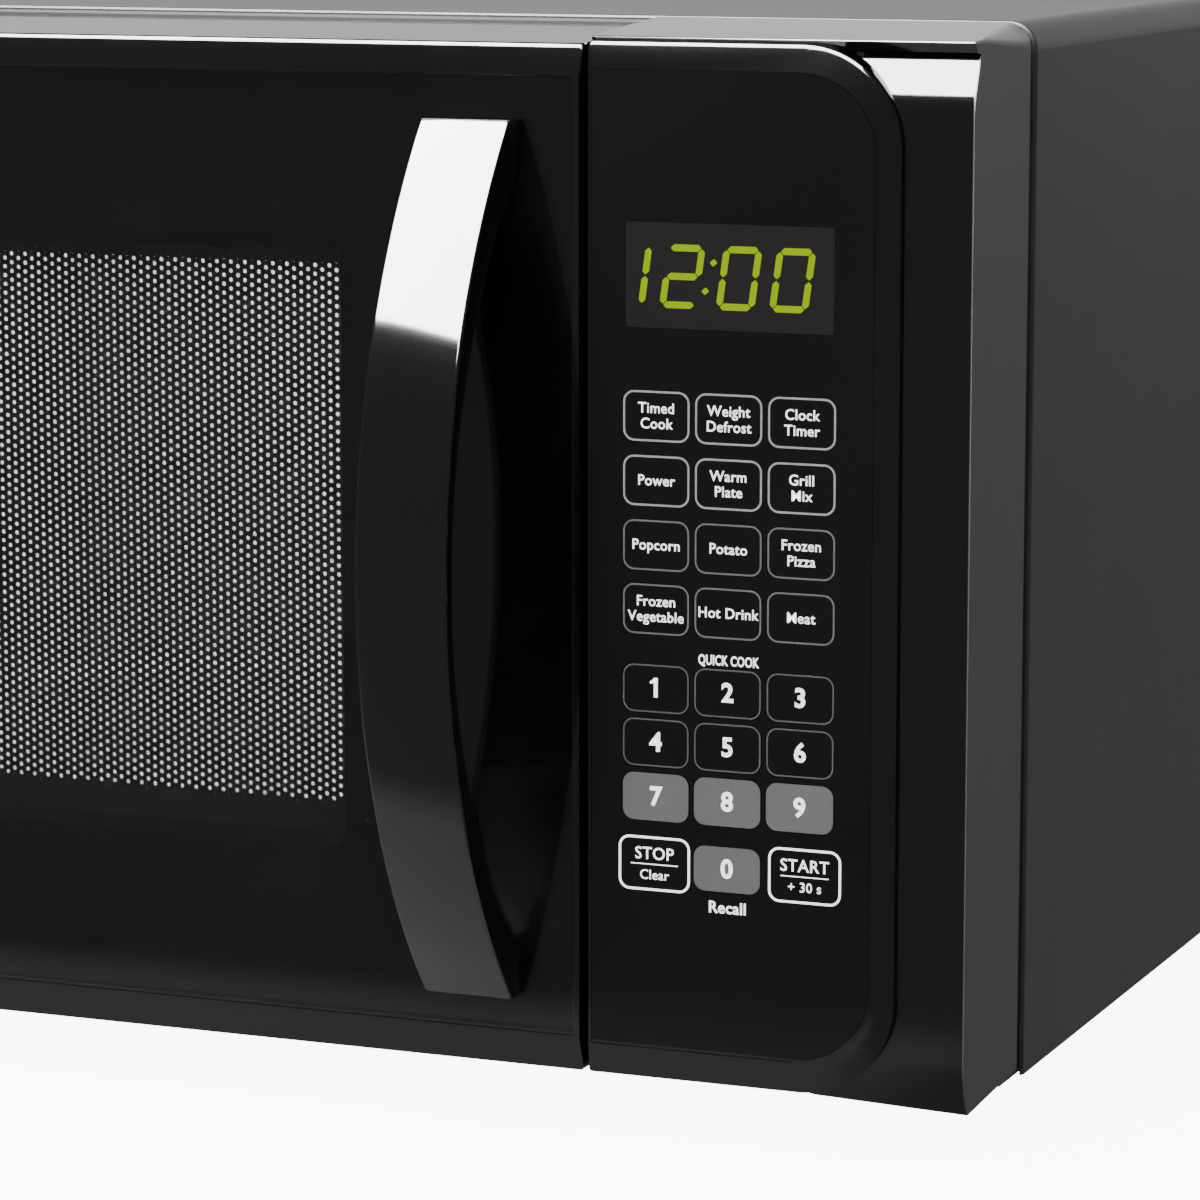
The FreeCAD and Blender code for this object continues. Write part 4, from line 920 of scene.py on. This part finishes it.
def makeScreenRim(low, high, plateY):
    # the plain border of the pan: a plate with the perforated field cut out and a folded edge behind
    deselectAll()
    bpy.ops.mesh.primitive_plane_add(size=1.0)
    rim = bpy.context.active_object
    rim.scale = (high.x - low.x, high.z - low.z, 1)
    rim.rotation_euler = (math.radians(90), 0, 0)
    rim.location = ((low.x + high.x) / 2, plateY + 0.55 * mm, (low.z + high.z) / 2)
    applyPlace(rim)
    border = screen["border"]
    fieldLeft, fieldRight = screen["left"] - border, screen["right"] + border
    fieldBottom, fieldTop = screen["bottom"] - border, screen["top"] + border
    bpy.ops.object.mode_set(mode="EDIT")
    for place, normal in (((fieldLeft, 0, 0), (1, 0, 0)), ((fieldRight, 0, 0), (1, 0, 0)),
                          ((0, 0, fieldBottom), (0, 0, 1)), ((0, 0, fieldTop), (0, 0, 1))):
        bpy.ops.mesh.select_all(action="SELECT")
        bpy.ops.mesh.bisect(plane_co=place, plane_no=normal)
    pickFaces(rim, lambda f: fieldLeft < f.calc_center_median().x < fieldRight
              and fieldBottom < f.calc_center_median().z < fieldTop)
    bpy.ops.mesh.delete(type="FACE")
    pickEdges(rim, lambda e: e.is_boundary and (
        max(abs(v.co.x - low.x) for v in e.verts) < 1e-6
        or max(abs(v.co.x - high.x) for v in e.verts) < 1e-6
        or max(abs(v.co.z - low.z) for v in e.verts) < 1e-6
        or max(abs(v.co.z - high.z) for v in e.verts) < 1e-6))
    bpy.ops.mesh.extrude_edges_move(TRANSFORM_OT_translate={"value": (0, high.y - plateY - 0.6 * mm, 0)})
    bpy.ops.object.mode_set(mode="OBJECT")
    thick = rim.modifiers.new("thickness", "SOLIDIFY")
    thick.thickness = 0.5 * mm
    thick.offset = -1
    applyModifiers(rim)
    outwardFaces(rim)
    return rim


makeScreen()


# key prints: outline or fill, and a legend, on every key

keyLegends = {
    "key_cook": ("Timed", "Cook"), "key_defrost": ("Weight", "Defrost"), "key_clock": ("Clock", "Timer"),
    "key_power": ("Power",), "key_plate": ("Warm", "Plate"), "key_grill": ("Grill", "Mix"),
    "key_popcorn": ("Popcorn",), "key_potato": ("Potato",), "key_pizza": ("Frozen", "Pizza"),
    "key_vegetable": ("Frozen", "Vegetable"), "key_drink": ("Hot Drink",), "key_meat": ("Meat",),
    "key_stop": ("STOP", "Clear"), "key_start": ("START", "+ 30 s"),
}
for digit in range(10):
    keyLegends["key_" + str(digit)] = (str(digit),)
keyPrint = {
    "thickness": 0.04 * mm, "inset": 0.10 * mm, "corner": 3.3 * mm,
    "lines": {"softPrint": 0.56 * mm, "dimPrint": 0.50 * mm, "faintPrint": 0.44 * mm, "glowingBrightPrint": 0.66 * mm,
              "greyFill": 0.5 * mm},
    "wordSize": 4.15 * mm, "digitSize": 7.4 * mm, "stopSize": 4.9 * mm, "smallSize": 3.9 * mm,
    "leading": 4.3 * mm, "wordBold": 0.045 * mm, "digitBold": 0.22 * mm, "narrow": 0.97, "fit": 17.8 * mm,
    "stopRise": 2.7 * mm, "smallDrop": 3.3 * mm, "barDrop": 0.2 * mm, "barLength": 14.0 * mm, "barHeight": 0.28 * mm,
}
outlineGroups = {
    "softPrint": ("cook", "defrost", "clock", "power", "plate", "grill"),
    "dimPrint": ("popcorn", "potato", "pizza", "vegetable", "drink", "meat"),
    "faintPrint": "123456", "greyFill": "7890", "glowingBrightPrint": ("stop", "start"),
}
outlineLook = {"key_" + ending: look for look, endings in outlineGroups.items() for ending in endings}


def makeOutline(low, high, line, corner, filled, frontY):
    deselectAll()
    bpy.ops.mesh.primitive_plane_add(size=1.0)
    ring = bpy.context.active_object
    inset = keyPrint["inset"]
    ring.scale = (high.x - low.x - 2 * inset, high.z - low.z - 2 * inset, 1)
    ring.rotation_euler = (math.radians(90), 0, 0)
    ring.location = ((low.x + high.x) / 2, frontY, (low.z + high.z) / 2)
    applyPlace(ring)
    bpy.ops.object.mode_set(mode="EDIT")
    bpy.ops.mesh.select_all(action="SELECT")
    bpy.ops.mesh.bevel(offset=corner - inset, offset_type="OFFSET", segments=7, affect="VERTICES")
    if not filled:
        bpy.ops.mesh.select_all(action="SELECT")
        bpy.ops.mesh.inset(thickness=line, depth=0)
        bpy.ops.mesh.delete(type="FACE")
    bpy.ops.mesh.select_all(action="SELECT")
    bpy.ops.mesh.extrude_region_move(TRANSFORM_OT_translate={"value": (0, keyPrint["thickness"], 0)})
    bpy.ops.object.mode_set(mode="OBJECT")
    outwardFaces(ring)
    return ring


def makeText(words, size, centre, frontY, bold=0.0):
    deselectAll()
    bpy.ops.object.text_add()
    text = bpy.context.active_object
    text.data.body = words
    text.data.size = size
    text.data.align_x = "CENTER"
    text.data.align_y = "CENTER"
    text.scale = (keyPrint["narrow"], 1, 1)
    text.data.extrude = keyPrint["thickness"] / 2
    text.data.offset = bold
    text.data.space_character = 1.04
    text.data.resolution_u = 3
    bpy.ops.object.convert(target="MESH")
    text = bpy.context.active_object
    applyPlace(text)
    width = max(v.co.x for v in text.data.vertices) - min(v.co.x for v in text.data.vertices)
    if width > keyPrint["fit"]:
        text.scale = (keyPrint["fit"] / width, 1, 1)
    text.rotation_euler = (math.radians(90), 0, 0)
    text.location = (centre[0], frontY, centre[1])
    applyPlace(text)
    outwardFaces(text)
    return text


def makeKeyPrint(nodeName):
    low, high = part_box(nodeName)
    centreX, centreZ = (low.x + high.x) / 2, (low.z + high.z) / 2
    look = outlineLook[nodeName]
    filled = look == "greyFill"
    line = keyPrint["lines"][look]
    skin = low.y - 0.5 * keyPrint["thickness"]
    ring = makeOutline(low, high, line, keyPrint["corner"], filled, skin - 0.5 * keyPrint["thickness"])
    body = nodeName + "_body"
    finishPiece(ring, nodeName + "_outline", body, printMaterials[look])
    words = keyLegends[nodeName]
    textY = skin - (1.2 * keyPrint["thickness"] if filled else 0.2 * keyPrint["thickness"])
    parts = []
    bold = keyPrint["wordBold"]
    if words[0].isdigit():
        parts.append(makeText(words[0], keyPrint["digitSize"], (centreX, centreZ), textY, keyPrint["digitBold"]))
        if words[0] == "1":
            parts.append(makeFlag(parts[0], textY))
    elif nodeName in ("key_stop", "key_start"):
        upper, lower = (centreX, centreZ + keyPrint["stopRise"]), (centreX, centreZ - keyPrint["smallDrop"])
        parts.append(makeText(words[0], keyPrint["stopSize"], upper, textY, bold))
        parts.append(makeText(words[1], keyPrint["smallSize"], lower, textY, 0.6 * bold))
        parts.append(makeBar(centreX, centreZ - keyPrint["barDrop"], keyPrint["barLength"],
                             keyPrint["barHeight"], textY))
    else:
        for index, word in enumerate(words):
            z = centreZ + (0.5 * (len(words) - 1) - index) * keyPrint["leading"]
            parts.append(makeText(word, keyPrint["wordSize"], (centreX, z), textY, bold))
    legend = joinPieces(parts, nodeName + "_legend")
    finishPiece(legend, nodeName + "_legend", body, printMaterials["glowingBrightPrint"])


def makeFlag(stem, frontY):
    # the short stroke at the top left of the figure one
    top = max(v.co.z for v in stem.data.vertices)
    left = min(v.co.x for v in stem.data.vertices)
    flag = makeBar(0, 0, 1.7 * mm, 0.75 * mm, frontY)
    flag.rotation_euler = (0, math.radians(-38), 0)
    flag.location = (left - 0.35 * mm, 0, top - 0.95 * mm)
    applyPlace(flag)
    return flag


def makeBar(centreX, centreZ, length, height, frontY):
    deselectAll()
    bpy.ops.mesh.primitive_cube_add(size=1.0, location=(centreX, frontY, centreZ))
    bar = bpy.context.active_object
    bar.scale = (length, keyPrint["thickness"], height)
    applyPlace(bar)
    bpy.ops.object.mode_set(mode="EDIT")
    bpy.ops.mesh.select_all(action="SELECT")
    bpy.ops.mesh.bevel(offset=height * 0.15, segments=1, affect="EDGES")
    bpy.ops.object.mode_set(mode="OBJECT")
    return bar


for nodeName in sorted(keyLegends):
    makeKeyPrint(nodeName)
print("keys printed", len(keyLegends))

captions = {
    "quickCaption": {"words": "QUICK COOK", "size": 3.9 * mm, "place": (0.1884, 0.1361)},
    "recallCaption": {"words": "Recall", "size": 4.7 * mm, "place": (0.1884, 0.0668)},
}
for name, caption in captions.items():
    skin = overlayLow.y - 0.3 * keyPrint["thickness"]
    text = makeText(caption["words"], caption["size"], caption["place"], skin, 0.09 * mm)
    finishPiece(text, name, "chassis", printMaterials["glowingBrightPrint"])


# clock digits behind the display window

clock = {
    "lefts": (0.1524, 0.1679, 0.18435, 0.19975), "bottom": 0.2327, "height": 17.5 * mm, "width": 11.2 * mm,
    "bar": 1.9 * mm, "gap": 0.30 * mm, "depth": 0.06 * mm, "slant": 8.0,
    "segments": ("bc", "abged", "abcdef", "abcdef"), "dots": ((0.1820, 0.2455), (0.1807, 0.2377)), "dot": 2.0 * mm,
}


def makeSegment(start, end, y):
    # flat bar with pointed ends from start to end
    deselectAll()
    bpy.ops.mesh.primitive_plane_add(size=1.0)
    bar = bpy.context.active_object
    length = math.hypot(end[0] - start[0], end[1] - start[1]) - 2 * clock["gap"]
    bar.scale = (length, clock["bar"], 1)
    applyPlace(bar)
    bpy.ops.object.mode_set(mode="EDIT")
    bpy.ops.mesh.select_all(action="SELECT")
    bpy.ops.mesh.bevel(offset=clock["bar"] * 0.42, segments=1, affect="VERTICES")
    bpy.ops.mesh.select_all(action="SELECT")
    bpy.ops.mesh.extrude_region_move(TRANSFORM_OT_translate={"value": (0, 0, clock["depth"])})
    bpy.ops.object.mode_set(mode="OBJECT")
    angle = math.atan2(end[1] - start[1], end[0] - start[0])
    bar.rotation_euler = (math.radians(90), -angle, 0)
    bar.location = ((start[0] + end[0]) / 2, y, (start[1] + end[1]) / 2)
    applyPlace(bar)
    return bar


def makeClock():
    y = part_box("display_window")[0].y - 0.3 * clock["depth"]
    width, height = clock["width"] - clock["bar"], clock["height"] - clock["bar"]
    corners = {"a": ((0, height), (width, height)), "b": ((width, height), (width, height / 2)),
               "c": ((width, height / 2), (width, 0)), "d": ((0, 0), (width, 0)),
               "e": ((0, height / 2), (0, 0)), "f": ((0, height), (0, height / 2)),
               "g": ((0, height / 2), (width, height / 2))}
    bars = []
    base = clock["bottom"] + clock["bar"] / 2
    for left, letters in zip(clock["lefts"], clock["segments"]):
        for letter in letters:
            start, end = corners[letter]
            x0 = left + clock["bar"] / 2
            bars.append(makeSegment((x0 + start[0], base + start[1]), (x0 + end[0], base + end[1]), y))
    for x, z in clock["dots"]:
        half = clock["dot"] / 2 + clock["gap"]
        bars.append(makeSegment((x - half, z), (x + half, z), y))
    digits = joinPieces(bars, "clockDigits")
    lean = math.tan(math.radians(clock["slant"]))
    shear = Matrix(((1, 0, lean, -lean * base), (0, 1, 0, 0), (0, 0, 1, 0), (0, 0, 0, 1)))
    digits.data.transform(shear)
    outwardFaces(digits)
    finishPiece(digits, "clockDigits", "chassis", ledGlow)


makeClock()
print("clock set")

print("size written")
